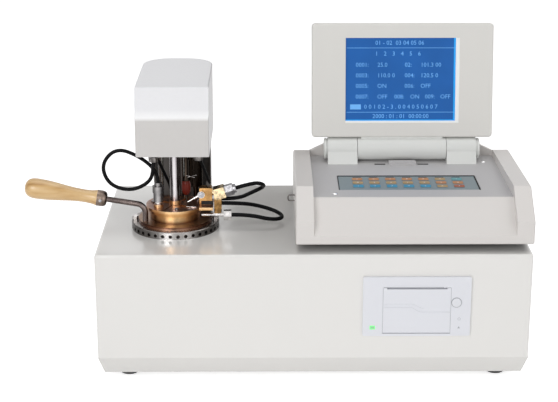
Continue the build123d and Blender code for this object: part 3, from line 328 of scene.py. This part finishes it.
def hood_paint():
    """Pale enamel with painted light: the front darker and warmer below its crease, a painted highlight along
    it, painted shade on the sides.
    """
    below, above, highlight_and_shaded_tarnish = (0.635, 0.618, 0.604), (0.815, 0.815, 0.835), (0.94, 0.94, 0.95)
    side = (0.63, 0.625, 0.63)
    material, tree, shader = surface("hood_paint", (0.74, 0.74, 0.76), 0.36, specular_ior_level=0.35)
    # Painted light on the front: painted shade below the crease, a painted highlight along it, lighter above.
    front = heights(tree, [(0.2670, below), (0.2674, highlight_and_shaded_tarnish), (0.2700, highlight_and_shaded_tarnish), (0.2780, above)])
    # Painted shade on the faces that point left or right.
    rest = ramp(tree, facing(tree, "X"), [(0.5, above), (0.9, side)])
    drift = ramp(tree, noise(tree, 260, 2), [(0.3, grey(0.985)), (0.7, grey(1))])
    tint = blended(tree, ahead(tree, 0.4, 0.6), rest, front)
    tree.links.new(multiplied(tree, tint, drift), shader.inputs["Base Color"])
    add_bump(tree, shader, noise(tree, 900, 2), 0.08)
    return material


def column_paint():
    """The hood's enamel, with painted shade, near black, on every face that points forward.

    The real column is open at its front. The CAD column has a stray strip across that opening, a fault,
    and the dark tone hides it where the photo shows a dark opening.
    """
    enamel, dark, light = (0.70, 0.69, 0.69), (0.033, 0.027, 0.024), (0.065, 0.054, 0.048)
    material, tree, shader = surface("column_paint", enamel, 0.36, specular_ior_level=0.35)
    plain = ramp(tree, noise(tree, 260, 2), [(0.3, (0.690, 0.680, 0.680)), (0.7, enamel)])
    # Painted shade: near black, in upright streaks, where the open column's inside lies in shade.
    painted_opening_shade = ramp(tree, noise(tree, 160, 4, UPRIGHT), [(0.35, dark), (0.6, light)])
    tree.links.new(blended(tree, ahead(tree, 0.5, 0.62), plain, painted_opening_shade), shader.inputs["Base Color"])
    add_bump(tree, shader, noise(tree, 900, 2), 0.08)
    return material


def cup_brass():
    """Brass: a copper-brown band over the flange, a painted highlight along the flange's foot and another
    across the wall above.
    """
    material, tree, shader = surface("cup_brass", (0.9, 0.6, 0.3), 0.28, 0.85)
    dark = (0.21, 0.085, 0.045)
    # Painted highlights by height: a bright band at the flange's foot and a brighter one across the wall,
    # with the flange's darker copper-brown band between them.
    tone_by_height = heights(tree, [
        (0.1502, (0.95, 0.62, 0.45)), (0.1514, (0.85, 0.50, 0.34)), (0.1520, dark), (0.1532, dark),
        (0.1538, (0.88, 0.57, 0.26)), (0.1575, (0.97, 0.72, 0.40)), (0.1600, (0.80, 0.48, 0.20)),
    ])
    # Painted shade on the faces that point left or right, where a turned part's reflections are dark.
    bands = [
        (0.15, grey(1)), (0.50, (0.5, 0.38, 0.30)), (0.80, (0.22, 0.14, 0.10)), (1.0, (0.34, 0.22, 0.15)),
    ]
    tint = multiplied(tree, tone_by_height, ramp(tree, facing(tree, "X"), bands))
    # Painted shade on the faces that point up.
    crown = ramp(tree, facing(tree, "Z", "MULTIPLY"), [(0.3, grey(1)), (0.9, grey(0.75))])
    tint = multiplied(tree, tint, crown)
    stain = ramp(tree, noise(tree, 90, 4), [(0.38, grey(0.7)), (0.58, grey(1))])
    tree.links.new(multiplied(tree, tint, stain), shader.inputs["Base Color"])
    add_bump(tree, shader, noise(tree, 400, 3, (1, 1, 6)), 0.06)
    return material


def lid_brass():
    """Copper-brown brass: a painted highlight along the plate's edge, painted shade just under it and a
    darker rim below.
    """
    material, tree, shader = surface("lid_brass", (0.76, 0.46, 0.20), 0.32, 0.85)
    edge = (0.95, 0.68, 0.38)
    # Painted highlight along the plate's edge, with a line of painted shade just under the plate.
    tone_by_height = heights(tree, [
        (0.1640, (0.62, 0.34, 0.13)), (0.1646, (0.40, 0.20, 0.08)), (0.1655, edge), (0.1676, edge),
    ])
    # Painted shade on the faces that point left or right.
    bands = [
        (0.15, grey(1)), (0.55, (0.45, 0.32, 0.22)), (0.85, (0.28, 0.19, 0.14)), (1.0, (0.45, 0.32, 0.25)),
    ]
    tint = multiplied(tree, tone_by_height, ramp(tree, facing(tree, "X"), bands))
    # Faces that point up: mottled like tarnish, and painted darker as shade.
    highlight_and_shaded_tarnish = ramp(tree, noise(tree, 70, 4), [(0.36, (0.18, 0.085, 0.05)), (0.60, (0.40, 0.22, 0.16))])
    above = ramp(tree, facing(tree, "Z", "MULTIPLY"), [(0.4, grey(0)), (0.8, grey(1))])
    tree.links.new(blended(tree, above, tint, highlight_and_shaded_tarnish), shader.inputs["Base Color"])
    add_bump(tree, shader, noise(tree, 400, 3, (1, 1, 6)), 0.06)
    return material


def elbow_brass():
    """Cast brass, brighter on the elbow and darker down its post."""
    material, tree, shader = surface("elbow_brass", (0.88, 0.70, 0.42), 0.22, 1.0)
    tone_by_height = heights(tree, [(0.1735, (0.36, 0.20, 0.07)), (0.1765, (0.90, 0.72, 0.45))])
    spots = ramp(tree, noise(tree, 260, 4), [(0.40, grey(0.55)), (0.56, grey(1))])
    tree.links.new(multiplied(tree, tone_by_height, spots), shader.inputs["Base Color"])
    add_bump(tree, shader, noise(tree, 500, 3), 0.08)
    return material


ENAMEL = (0.770, 0.757, 0.735)
# In the metals below, flanks, crown and lit_side are painted shade by facing.
materials = {
    "cover_paint": paint(
        "cover_paint", ENAMEL, 0.28, depth=0.02, wear=0.003, coat_weight=0.8, coat_roughness=0.16,
    ),
    "pan_paint": paint("pan_paint", scaled(ENAMEL, 0.95), 0.34),
    "panel_paint": paint("panel_paint", scaled(ENAMEL, 0.9), 0.4, depth=0.04),
    "foot_rubber": rubber("foot_rubber", (0.03, 0.03, 0.03), 0.6),
    "bath_iron": metal("bath_iron", (0.10, 0.08, 0.07), 0.5),
    "heater_band": metal("heater_band", (0.35, 0.32, 0.28), 0.4),
    "collar_steel": metal(
        "collar_steel", (0.54, 0.52, 0.51), 0.22, (1, 1, 8), 0.3, 60, UPRIGHT,
        flanks=(0.26, 0.25, 0.24), crown=(0.45, 0.42, 0.40),
    ),
    "screw_steel": metal("screw_steel", (0.62, 0.60, 0.59), 0.2, patina=0.3, patch=150),
    "cup_brass": cup_brass(),
    "rod_steel": metal("rod_steel", (0.17, 0.135, 0.125), 0.28, (8, 1, 1), 0.4, crown=grey(0.55)),
    "ferrule_steel": metal("ferrule_steel", (0.15, 0.115, 0.095), 0.3, patina=0.5),
    "grip_wood": wood("grip_wood"),
    "lid_brass": lid_brass(),
    "bright_steel": metal(
        "bright_steel", (0.45, 0.43, 0.44), 0.2, ALONG_Z, 0.35, 160, UPRIGHT, flanks=(0.24, 0.22, 0.22),
    ),
    "stirrer_steel": metal("stirrer_steel", (0.60, 0.59, 0.58), 0.25),
    "drive_dark": metal(
        "drive_dark", (0.035, 0.026, 0.020), 0.28, ALONG_Z, 0.8, 90, UPRIGHT, flanks=grey(0.6),
        edge=(0.12, 0.10, 0.09),
    ),
    "probe_steel": metal("probe_steel", (0.55, 0.53, 0.51), 0.22),
    "connector_dark": metal("connector_dark", (0.24, 0.23, 0.23), 0.3, ALONG_Z, 0.5, flanks=grey(0.45)),
    "igniter_red": paint("igniter_red", (0.12, 0.013, 0.007), 0.12, wear=0.3, specular_ior_level=0.1),
    "block_brass": metal("block_brass", (0.52, 0.29, 0.11), 0.26, (6, 1, 1), 0.4, flanks=(0.5, 0.4, 0.3)),
    "hose_black": rubber("hose_black", (0.003, 0.003, 0.0035), 0.4, 0.08),
    "knob_dark": rubber("knob_dark", (0.06, 0.055, 0.05), 0.4),
    "hood_paint": hood_paint(),
    "column_paint": column_paint(),
    "plate_steel": metal("plate_steel", (0.35, 0.34, 0.33), 0.35),
    "motor_dark": paint("motor_dark", (0.035, 0.035, 0.035), 0.35, wear=0.3),
    "slide_steel": metal("slide_steel", (0.62, 0.62, 0.63), 0.15, ALONG_Z, 0.25),
    "console_plastic": paint("console_plastic", (0.695, 0.668, 0.647), 0.42, 1400, 0.15),
    "recess_plastic": paint("recess_plastic", (0.500, 0.490, 0.493), 0.5, 1400, 0.15),
    "keypad_film": paint("keypad_film", (0.205, 0.255, 0.275), 0.42),
    "hinge_plastic": paint("hinge_plastic", (0.73, 0.74, 0.72), 0.42, 1400, 0.15),
    "screen_plastic": paint("screen_plastic", (0.710, 0.698, 0.668), 0.42, 1400, 0.15),
    "lcd_blue": glowing("lcd_blue", (0.012, 0.095, 0.33), 0.32, 0.25),
    "printer_plastic": paint("printer_plastic", (0.750, 0.760, 0.805), 0.38, 1400, 0.1),
    "lamp_green": glowing("lamp_green", (0.20, 0.75, 0.25), 0.5),
    "paper": paint("paper", (0.80, 0.80, 0.79), 0.8),
    "button_plastic": paint("button_plastic", (0.74, 0.75, 0.79), 0.3),
    "fan_black": rubber("fan_black", (0.03, 0.03, 0.03), 0.5),
    "inlet_black": rubber("inlet_black", (0.02, 0.02, 0.02), 0.4, 0.3),
    "elbow_brass": elbow_brass(),
    "shade_and_print_black": rubber("shade_and_print_black", (0.008, 0.008, 0.008), 0.8),
    "white_print_and_highlight": paint("white_print_and_highlight", (0.92, 0.93, 0.93), 0.25),
    "chrome": metal("chrome", (0.80, 0.80, 0.80), 0.12, patina=0.1),
    "nut_steel": metal("nut_steel", (0.36, 0.355, 0.37), 0.3, patina=0.4, patch=220, flanks=grey(0.55)),
    "dull_steel": metal("dull_steel", (0.14, 0.13, 0.125), 0.35, patina=0.6, patch=220),
    "hanger_steel": metal(
        "hanger_steel", (0.40, 0.40, 0.38), 0.2, ALONG_Z, 0.3, 200, UPRIGHT, lit_side=(0.13, 0.10, 0.09),
    ),
    "print_grey": paint("print_grey", (0.42, 0.43, 0.46), 0.5),
    "lcd_text": glowing("lcd_text", (0.12, 0.34, 0.68), 0.45, 0.4),
    "lcd_edge": glowing("lcd_edge", (0.02, 0.30, 0.70), 0.45, 0.4),
    "key_orange": paint("key_orange", (0.50, 0.21, 0.07), 0.45, wear=0.15),
    "key_tan": paint("key_tan", (0.42, 0.27, 0.11), 0.45, wear=0.15),
    "key_blue": paint("key_blue", (0.025, 0.27, 0.46), 0.45, wear=0.15),
    "key_teal": paint("key_teal", (0.10, 0.33, 0.36), 0.45, wear=0.15),
    "key_brown": paint("key_brown", (0.33, 0.085, 0.035), 0.45, wear=0.15),
}
for part in frame["record"]["subparts"]:
    node = nodes[part["node"]]
    node.data.materials.clear()
    node.data.materials.append(materials[part["material_slot"]])

# Nodes whose finish differs from that of the others in their slot; the column's and the hanger rods' add
# painted shade.
for name, material in (
    ("gas_elbow", "elbow_brass"), ("hose_connector", "nut_steel"), ("burner", "probe_steel"),
    ("burner_pivot", "nut_steel"), ("hanger_rods", "hanger_steel"), ("column", "column_paint"),
    ("handle_rivet", "nut_steel"),
):
    nodes[name].data.materials[0] = materials[material]

# ---- Hoses and cable -----------------------------------------------------------------------------


def route(name, points, diameter, material):
    """A round cord or wire along one smooth curve; its points are millimetres from the cup's axis."""
    curve = bpy.data.curves.new(name, "CURVE")
    curve.dimensions = "3D"
    curve.bevel_depth = diameter / 2
    curve.bevel_resolution = 5
    curve.use_fill_caps = True
    spline = curve.splines.new("NURBS")
    spline.points.add(len(points) - 1)
    for control, point in zip(spline.points, points):
        control.co = (*(AT_CUP @ Vector(point)), 1)
    spline.order_u = 3
    spline.use_endpoint_u = True
    spline.resolution_u = 12
    piece = bpy.data.objects.new(name, curve)
    bpy.context.scene.collection.objects.link(piece)
    curve.materials.append(materials[material])
    return piece


def hose(name, points, diameter, node):
    """A hose or lead of the head that stands for a CAD node."""
    piece = route(name, points, diameter, "hose_black")
    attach(piece, "head")
    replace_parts(piece, node)


HOSE_DIAMETER = 0.0043
LEAD_DIAMETER = 0.004
hose("gas_hose_upper", [
    (65.505, 0, 42.906), (83.675, 0, 48.461), (94, 5, 46), (96, 18, 38.5), (82, 21, 31), (68, 2.3, 30),
    (50, 2.3, 30),
], HOSE_DIAMETER, "upper_hose")
hose("gas_hose_lower", [
    (60.8, -12, 16.4), (80, -12, 16.4), (103, -13, 11), (117, -3, 9.5), (111, 12, 12), (88, 12, 19.5),
    (68, -2.3, 26.5), (50, -2.3, 26.5),
], HOSE_DIAMETER, "lower_hose")
hose("probe_lead", [
    (-17, -12, 53), (-17, -12, 64), (-34, -10, 80), (-60, -10, 91), (-77, -12, 73), (-69, -15, 51),
    (-45, -18, 45), (-24, -20, 56), (-20.5, -20, 72), (-20.5, -20, 88),
], LEAD_DIAMETER, "probe_cable")

# ---- Makers for small pieces ---------------------------------------------------------------------


def piece(name, body, slot, bm, material=None, sharp=35):
    """Turns a finished bmesh into a piece that rides on a body; edges over sharp degrees stay crisp."""
    bmesh.ops.recalc_face_normals(bm, faces=bm.faces)
    for face in bm.faces:
        face.smooth = True
    for edge in bm.edges:
        edge.smooth = not (len(edge.link_faces) == 2 and edge.calc_face_angle() > radians(sharp))
    mesh = bpy.data.meshes.new(name)
    bm.to_mesh(mesh)
    bm.free()
    mesh.materials.append(materials[material or slot])
    thing = bpy.data.objects.new(name, mesh)
    bpy.context.scene.collection.objects.link(thing)
    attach(thing, body)
    return thing


def turn(bm, where, profile, steps=40):
    """Adds a solid of revolution about where's z axis, through (height, radius) points."""
    rings = []
    for height, radius in profile:
        angles = [2 * pi * step / steps for step in range(steps)]
        circle = [Vector((radius * cos(a), radius * sin(a), height)) for a in angles]
        rings.append([bm.verts.new(where @ point) for point in circle])
    for low, high in zip(rings, rings[1:]):
        for step in range(steps):
            after = (step + 1) % steps
            bm.faces.new((low[step], low[after], high[after], high[step]))
    bm.faces.new(rings[0][::-1])
    bm.faces.new(rings[-1])


def ring(bm, where, radius, width, low, high, steps=48):
    """Adds a flat ring about where's z axis."""
    outer = radius + width
    corners = [(radius, low), (outer, low), (outer, high), (radius, high)]
    loops = []
    for step in range(steps):
        a = 2 * pi * step / steps
        loops.append([bm.verts.new(where @ Vector((r * cos(a), r * sin(a), z))) for r, z in corners])
    for here, after in zip(loops, loops[1:] + loops[:1]):
        for side in range(4):
            other = (side + 1) % 4
            bm.faces.new((here[side], here[other], after[other], after[side]))


def slab(bm, where, outline, low, high, soften=0.0):
    """Adds a plate with the outline's (x, y) points between two heights; soften rounds its edges."""
    bottom = [bm.verts.new(where @ Vector((x, y, low))) for x, y in outline]
    top = [bm.verts.new(where @ Vector((x, y, high))) for x, y in outline]
    faces = [bm.faces.new(bottom[::-1]), bm.faces.new(top)]
    for i, (first, second) in enumerate(zip(bottom, bottom[1:] + bottom[:1])):
        after = (i + 1) % len(outline)
        faces.append(bm.faces.new((first, second, top[after], top[i])))
    if soften:
        bmesh.ops.bevel(
            bm, geom=list({edge for face in faces for edge in face.edges}), offset=soften * MM,
            segments=2, affect="EDGES", profile=0.6,
        )


def oblong(x, y, width, height, corner=0.0, steps=5):
    """The outline of a rectangle about (x, y), with its corners rounded if a radius is given."""
    if not corner:
        return [(x + sx * width / 2, y + sy * height / 2) for sx, sy in ((-1, -1), (1, -1), (1, 1), (-1, 1))]
    outline = []
    for quarter, (sx, sy) in enumerate(((1, 1), (-1, 1), (-1, -1), (1, -1))):
        for step in range(steps + 1):
            a = (quarter + step / steps) * pi / 2
            middle_x, middle_y = x + sx * (width / 2 - corner), y + sy * (height / 2 - corner)
            outline.append((middle_x + corner * cos(a), middle_y + corner * sin(a)))
    return outline


def figures(bm, where, entries, size, height):
    """Adds plain figures that start at each entry's (x, y, words)."""
    for x, y, words in entries:
        curve = bpy.data.curves.new("words", "FONT")
        curve.body = words
        curve.size = size
        curve.align_y = "CENTER"
        curve.resolution_u = 2
        holder = bpy.data.objects.new("words", curve)
        bpy.context.scene.collection.objects.link(holder)
        bpy.context.view_layer.update()
        depsgraph = bpy.context.evaluated_depsgraph_get()
        flat = bpy.data.meshes.new_from_object(holder.evaluated_get(depsgraph))
        flat.transform(where @ Matrix.Translation((x, y, height)))
        bm.from_mesh(flat)
        bpy.data.meshes.remove(flat)
        bpy.data.objects.remove(holder)


# ---- Screen: lit figures, backlight edge and a painted highlight on the window's rim -------------

WINDOW = (127, 94.5, 76.6)       # width, height and middle above the hinge
GLASS = 5                        # the panel's face, out from the screen's plane
LINE_HEIGHT = 6.6


def on_window(across, down):
    """A point on the glass, from fractions of the window's width and height."""
    return WINDOW[0] * (across - 0.5), WINDOW[2] + WINDOW[1] * (0.5 - down)


# Each line's height on the window, from 0 at the top to 1, and its words with where each starts.
lines = (
    (0.060, ((0.26, "01 - 02  03 04 05 06"),)),
    (0.187, ((0.26, "1"), (0.335, "2"), (0.41, "3"), (0.485, "4"), (0.56, "5"), (0.635, "6"))),
    (0.318, ((0.09, "0001:"), (0.28, "25.0"), (0.52, "02:"), (0.66, "101.3 00"))),
    (0.443, ((0.09, "0003:"), (0.28, "110.0 0"), (0.52, "004:"), (0.66, "120.5 0"))),
    (0.567, ((0.09, "0005:"), (0.28, "ON"), (0.52, "006:"), (0.66, "OFF"))),
    (0.694, ((0.09, "0007:"), (0.28, "OFF"), (0.43, "008:"), (0.57, "ON"), (0.70, "009:"), (0.835, "OFF"))),
    (0.813, ((0.165, "0 0 1 0 2 - 3 . 0 0 4 0 5 0 6 0 7"),)),
    (0.925, ((0.24, "2000 : 01 : 01  00:00:00"),)),
)
bm = bmesh.new()
for down, words in lines:
    entries = [(*on_window(across, down), text) for across, text in words]
    figures(bm, ON_SCREEN, entries, LINE_HEIGHT, GLASS + 0.06)
bars = ((0.5, 0.118, 124, 0.5), (0.5, 0.876, 124, 0.5), (0.09, 0.813, 12, 5.6))
for across, down, width, height in bars:
    slab(bm, ON_SCREEN, oblong(*on_window(across, down), width, height), GLASS + 0.02, GLASS + 0.05)
piece("screen_figures", "screen", "lcd_blue", bm, "lcd_text")

RIM_HIGHLIGHT = (4.2, 2.2)                # widths of the painted highlight inside the window, at its right and below
BRIGHT = (2.0, 1.2)              # widths of the brighter blue strips beside it
RIM_FACE = 7.2                   # the painted highlight's face, out from the screen's plane
WINDOW_FOOT = WINDOW[2] - WINDOW[1] / 2
bm = bmesh.new()
right, middle = WINDOW[0] / 2 - RIM_HIGHLIGHT[0] - BRIGHT[0] / 2, WINDOW[2] + RIM_HIGHLIGHT[1] / 2
slab(bm, ON_SCREEN, oblong(right, middle, BRIGHT[0], WINDOW[1] - RIM_HIGHLIGHT[1]), GLASS + 0.01, GLASS + 0.04)
bottom = WINDOW_FOOT + RIM_HIGHLIGHT[1] + BRIGHT[1] / 2
slab(bm, ON_SCREEN, oblong(-RIM_HIGHLIGHT[0] / 2, bottom, WINDOW[0] - RIM_HIGHLIGHT[0], BRIGHT[1]), GLASS + 0.01, GLASS + 0.04)
piece("screen_backlight_edge", "screen", "lcd_blue", bm, "lcd_edge")

# Painted highlight: a pale strip along the window's right and bottom edges stands for light on its bevel.
bm = bmesh.new()
slab(bm, ON_SCREEN, oblong(WINDOW[0] / 2 - RIM_HIGHLIGHT[0] / 2, WINDOW[2], RIM_HIGHLIGHT[0], WINDOW[1]), GLASS, RIM_FACE)
bottom = WINDOW_FOOT + RIM_HIGHLIGHT[1] / 2
slab(bm, ON_SCREEN, oblong(-RIM_HIGHLIGHT[0] / 2, bottom, WINDOW[0] - RIM_HIGHLIGHT[0], RIM_HIGHLIGHT[1]), GLASS, RIM_FACE)
piece("window_rim_highlight", "screen", "screen_plastic", bm, "white_print_and_highlight")

# ---- Keypad: printed key caps with figures, painted shadow at the membrane's edges ---------------

KEY_COLUMNS = 7
KEY_PITCH = (17.9, 12.6)
KEY_SIZE = (11, 8, 1.4)          # width, depth and corner radius of a printed key
CAP_RISE = 0.3                   # a cap's face above the panel
KEYPAD_MIDDLE = 84               # back from the panel's front edge
rows = (                         # from the front
    5 * ("key_blue",) + ("key_tan", "key_brown"),
    5 * ("key_tan",) + ("key_orange", "key_orange"),
    5 * ("key_orange",) + ("key_tan", "key_teal"),
)


def key_x(column):
    """The middle of a column of keys, right of the panel's middle."""
    return (column - KEY_COLUMNS // 2) * KEY_PITCH[0]


caps = {}
digits = bmesh.new()
for row, colors in enumerate(rows):
    for column, color in enumerate(colors):
        x = key_x(column)
        y = KEYPAD_MIDDLE + (row - 1) * KEY_PITCH[1]
        cap = caps.setdefault(color, bmesh.new())
        slab(cap, ON_PANEL, oblong(x, y, *KEY_SIZE), 0, CAP_RISE)
        digit = str((row * KEY_COLUMNS + column + 1) % 10)
        figures(digits, ON_PANEL, [(x - 1.2, y, digit)], 4.2, CAP_RISE + 0.03)
for color, cap in caps.items():
    piece(f"caps_{color[4:]}", "base", "keypad_film", cap, color)
piece("key_figures", "base", "keypad_film", digits, "white_print_and_highlight")

bm = bmesh.new()
# Painted shadow: dark strips along the membrane's back and right edges, where the pocket's rim shades it, and
# a thin dark line at its left edge; then a row of printed marks behind the keys.
edges = ((0, 109.0, 149, 1.2), (74.2, KEYPAD_MIDDLE, 1.2, 50), (-74.4, KEYPAD_MIDDLE, 0.6, 50))
for x, y, width, depth in edges:
    slab(bm, ON_PANEL, oblong(x, y, width, depth), -0.4, 0.25)
for column in range(KEY_COLUMNS):
    slab(bm, ON_PANEL, oblong(key_x(column), 104.6, 9, 1.0), -0.4, -0.2)
for side in (-1, 1):             # painted shade in the slots beside the cable socket
    slab(bm, ON_PANEL, oblong(side * 24 - 1, 153.5, 12, 4), -1, 0.1)
piece("keypad_shadows_and_marks", "base", "keypad_film", bm, "shade_and_print_black")

bm = bmesh.new()
for x, y in ((-80, 42.5), (91, 160)):
    where = ON_PANEL @ Matrix.Translation((x, y, 0))
    turn(bm, where, ((0, 2.6), (0.9, 2.6), (1.5, 1.9), (1.7, 0.6)), 24)
piece("panel_screws", "base", "screw_steel", bm, "chrome")

# ---- Hinge: end caps outside the knuckles --------------------------------------------------------

CAP_START = 83.2                 # where each cap starts, out from the hinge's middle
bm = bmesh.new()
for side, flip in ((-1, pi), (1, 0)):
    where = AT_HINGE @ Matrix.Translation((0, 0, side * CAP_START)) @ Matrix.Rotation(flip, 4, "X")
    turn(bm, where, ((0, 11.6), (0.8, 11.6), (0.8, 10.6), (1.4, 10.6), (1.4, 11.6), (3.2, 11.6), (4.0, 10.8)))
piece("hinge_caps", "base", "hinge_plastic", bm)

# ---- Printer: slot, wave on the door, button ring and faint marks --------------------------------

BEZEL_FACE = 3.0                 # out from the front panel
SUNK = 2.9                       # where raised marks start, just under the face

bm = bmesh.new()
slab(bm, ON_PRINTER, oblong(-3.6, 21.2, 62, 1.1, 0.5), SUNK, 3.15)
for x in (-35.1, 35.1):
    slab(bm, ON_PRINTER, oblong(x, -4.5, 0.35, 50), SUNK, 3.05)
piece("paper_slot", "base", "printer_plastic", bm, "print_grey")


def rib(bm, points, width, high):
    """Adds a raised line along (x, y) points on the door."""
    ahead_side = [(x, y + width / 2) for x, y in points]
    behind_side = [(x, y - width / 2) for x, y in points]
    slab(bm, ON_PRINTER, behind_side + ahead_side[::-1], SUNK, high)


def wave(start, drop, level, first, last, steps=24):
    """A line that runs level, falls in an S and runs level again."""
    points = [(start, level)]
    for step in range(steps + 1):
        t = step / steps
        points.append((first + (last - first) * t, level - drop * (3 * t * t - 2 * t ** 3)))
    return points


bm = bmesh.new()
rib(bm, wave(-34, 5.5, -0.9, -8, 5) + [(34, -6.4)], 1.0, 3.6)
rib(bm, wave(-34, 4.6, 2.6, -6, 7), 0.8, 3.4)
piece("door_wave", "printer_door", "printer_plastic", bm)

bm = bmesh.new()
ring(bm, ON_PRINTER @ Matrix.Translation((40.8, 4.6, 0)), 4.75, 0.75, SUNK, 3.5)
piece("button_ring", "base", "printer_plastic", bm, "print_grey")

bm = bmesh.new()
ring(bm, ON_PRINTER @ Matrix.Translation((44.1, -13.7, 0)), 1.2, 0.3, BEZEL_FACE, BEZEL_FACE + 0.06, 20)
slab(bm, ON_PRINTER, [(42.6, -24.2), (45.4, -24.2), (44, -21.8)], BEZEL_FACE, BEZEL_FACE + 0.06)
slab(bm, ON_PRINTER, oblong(-45.6, -23.1, 3.6, 1.1), BEZEL_FACE + 0.6, BEZEL_FACE + 0.75)
piece("printer_marks", "base", "printer_plastic", bm, "print_grey")

# ---- Cup, lid and ignition details ---------------------------------------------------------------

LID_FACE = 25.65                 # just above the lid's plate, up from the deck
PROBE = (-17, -12, 0)            # the probe's axis
IGNITER = (12.6, -7, 0)          # the igniter's axis

bm = bmesh.new()
for x, y in ((-20.5, -20), (26.5, -14)):       # hexagonal, where the leads enter the hood
    turn(bm, AT_CUP @ Matrix.Translation((x, y, 0)), (
        (78, 3.6), (78.4, 5.0), (83.6, 5.3), (84, 4.2), (85.6, 4.2), (85.8, 5.9), (87.9, 5.9),
    ), 6)
piece("glands", "head", "screw_steel", bm, "dull_steel")


def rod(bm, start, end, radius, steps=16):
    """Adds a straight round rod between two points from the cup's axis."""
    start, end = Vector(start), Vector(end)
    along = end - start
    where = AT_CUP @ Matrix.Translation(start) @ along.to_track_quat("Z", "Y").to_matrix().to_4x4()
    turn(bm, where, ((0, radius), (along.length, radius)), steps)


bm = bmesh.new()
rod(bm, (26.5, -14, 84), (37.6, -1, 48.6), 1.5)
rod(bm, (-18.5, -15, 84), (-6.2, 7.6, 45), 1.7)
rod(bm, (-6.2, 7.6, 45), (-2.5, 13, 26), 1.7)
piece("sleeves", "head", "hose_black", bm)

bm = bmesh.new()
igniter = AT_CUP @ Matrix.Translation(IGNITER)
turn(bm, igniter, (
    (37.4, 1.4), (38.2, 2.8), (40.4, 4.2), (44, 5.0), (48, 5.0), (51.5, 4.4), (54, 3.4), (54.6, 2.4),
))
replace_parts(piece("igniter_bulb", "head", "igniter_red", bm, sharp=60), "igniter")

bm = bmesh.new()
turn(bm, igniter, ((53.4, 3.9), (54.4, 4.0), (55.6, 3.2), (57.5, 2.6), (58.5, 1.9), (88, 1.9)), 24)
rod(bm, (12.6, -7, 38), (13, -8.2, 30), 0.9)
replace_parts(piece("igniter_stem", "head", "drive_dark", bm), "igniter")

bm = bmesh.new()
rod(bm, (13, -8.5, 57), (24, -10, 60.2), 0.45, 10)
rod(bm, (12.5, -8.5, 59.5), (22, -10, 57.5), 0.4, 10)
piece("spring_wires", "head", "screw_steel", bm, "dull_steel")

bm = bmesh.new()
for x, y in ((-24, 6), (3, -22), (24, 9)):
    turn(bm, AT_CUP @ Matrix.Translation((x, y, LID_FACE - 0.05)), ((0, 2.1), (1.3, 2.1), (1.7, 1.4)), 20)
piece("lid_screws", "head", "screw_steel", bm, "nut_steel")

bm = bmesh.new()
slab(bm, AT_CUP, [(12.6, -14.0), (23.6, -15.6), (23.8, -13.2), (12.8, -11.6)], LID_FACE, 26.4, 0.2)
piece("lid_clip", "head", "screw_steel", bm, "chrome")

bm = bmesh.new()
ring(bm, AT_CUP, 5.45, 1.15, LID_FACE, 29.8)
ring(bm, AT_CUP @ Matrix.Translation(PROBE), 3.45, 1.7, LID_FACE, 29.0, 32)
piece("lid_bosses", "head", "lid_brass", bm)

# Painted shade: a dark patch on the block's front stands for the shade in its recess.
bm = bmesh.new()
slab(bm, CUP_FRONT, oblong(34.6, 28.0, 12.6, 4.4, 0.6), 6.0, 6.12)
piece("block_recess_shade", "head", "block_brass", bm, "shade_and_print_black")

COLLAR_TOP = 8                   # above the deck
# Painted shade: dark discs on the collar's top stand for the shade in two small holes.
bm = bmesh.new()
for x in (-5.8, 2.8):
    turn(bm, AT_CUP @ Matrix.Translation((x, -43.3, COLLAR_TOP)), ((0, 1.3), (0.06, 1.3)), 20)
piece("collar_hole_shade", "base", "collar_steel", bm, "shade_and_print_black")

# ---- Console: wire loop on the left side ---------------------------------------------------------

WIRE_DIAMETER = 0.0015
loop = route("side_wire_loop", [
    (130.5, -3, 35.6), (124.5, -3, 35.6), (121.4, -3, 35.4), (121.4, -3, 29.6), (124.5, -3, 29.4),
    (130.5, -3, 29.4),
], WIRE_DIAMETER, "dull_steel")
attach(loop, "base")

# ---- Floor ---------------------------------------------------------------------------------------


def stage_plane(name, corners):
    """A flat four-cornered thing that is on stage but no piece of the object."""
    mesh = bpy.data.meshes.new(name)
    mesh.from_pydata(corners, [], [(0, 1, 2, 3)])
    thing = bpy.data.objects.new(name, mesh)
    bpy.context.scene.collection.objects.link(thing)
    return thing


HALF = 4.0                       # half the floor's side, in metres
floor = stage_plane("floor", [(-HALF, -HALF, 0), (HALF, -HALF, 0), (HALF, HALF, 0), (-HALF, HALF, 0)])
floor_material, floor_tree, floor_shader = surface(
    "floor_pale", (0.93, 0.93, 0.93), 0.7, specular_ior_level=0.2,
)
floor_shader.inputs["Emission Color"].default_value = (1, 1, 1, 1)
add_bump(floor_tree, floor_shader, noise(floor_tree, 300, 2), 0.02)
glow = floor_tree.nodes.new("ShaderNodeMath")
glow.operation = "MULTIPLY"
glow.inputs[1].default_value = FLOOR_GLOW
floor_tree.links.new(seen_directly(floor_tree), glow.inputs[0])
floor_tree.links.new(glow.outputs[0], floor_shader.inputs["Emission Strength"])
floor.data.materials.append(floor_material)

# A dark card behind the object, which only the enamel's gloss sees, grades the deck beside the console.
card = stage_plane("card", [(-0.07, 0.62, 0.2), (0.30, 0.62, 0.2), (0.30, 0.62, 0.55), (-0.07, 0.62, 0.55)])
card.data.materials.append(materials["shade_and_print_black"])
card.visible_camera = False
card.visible_diffuse = False
card.visible_shadow = False
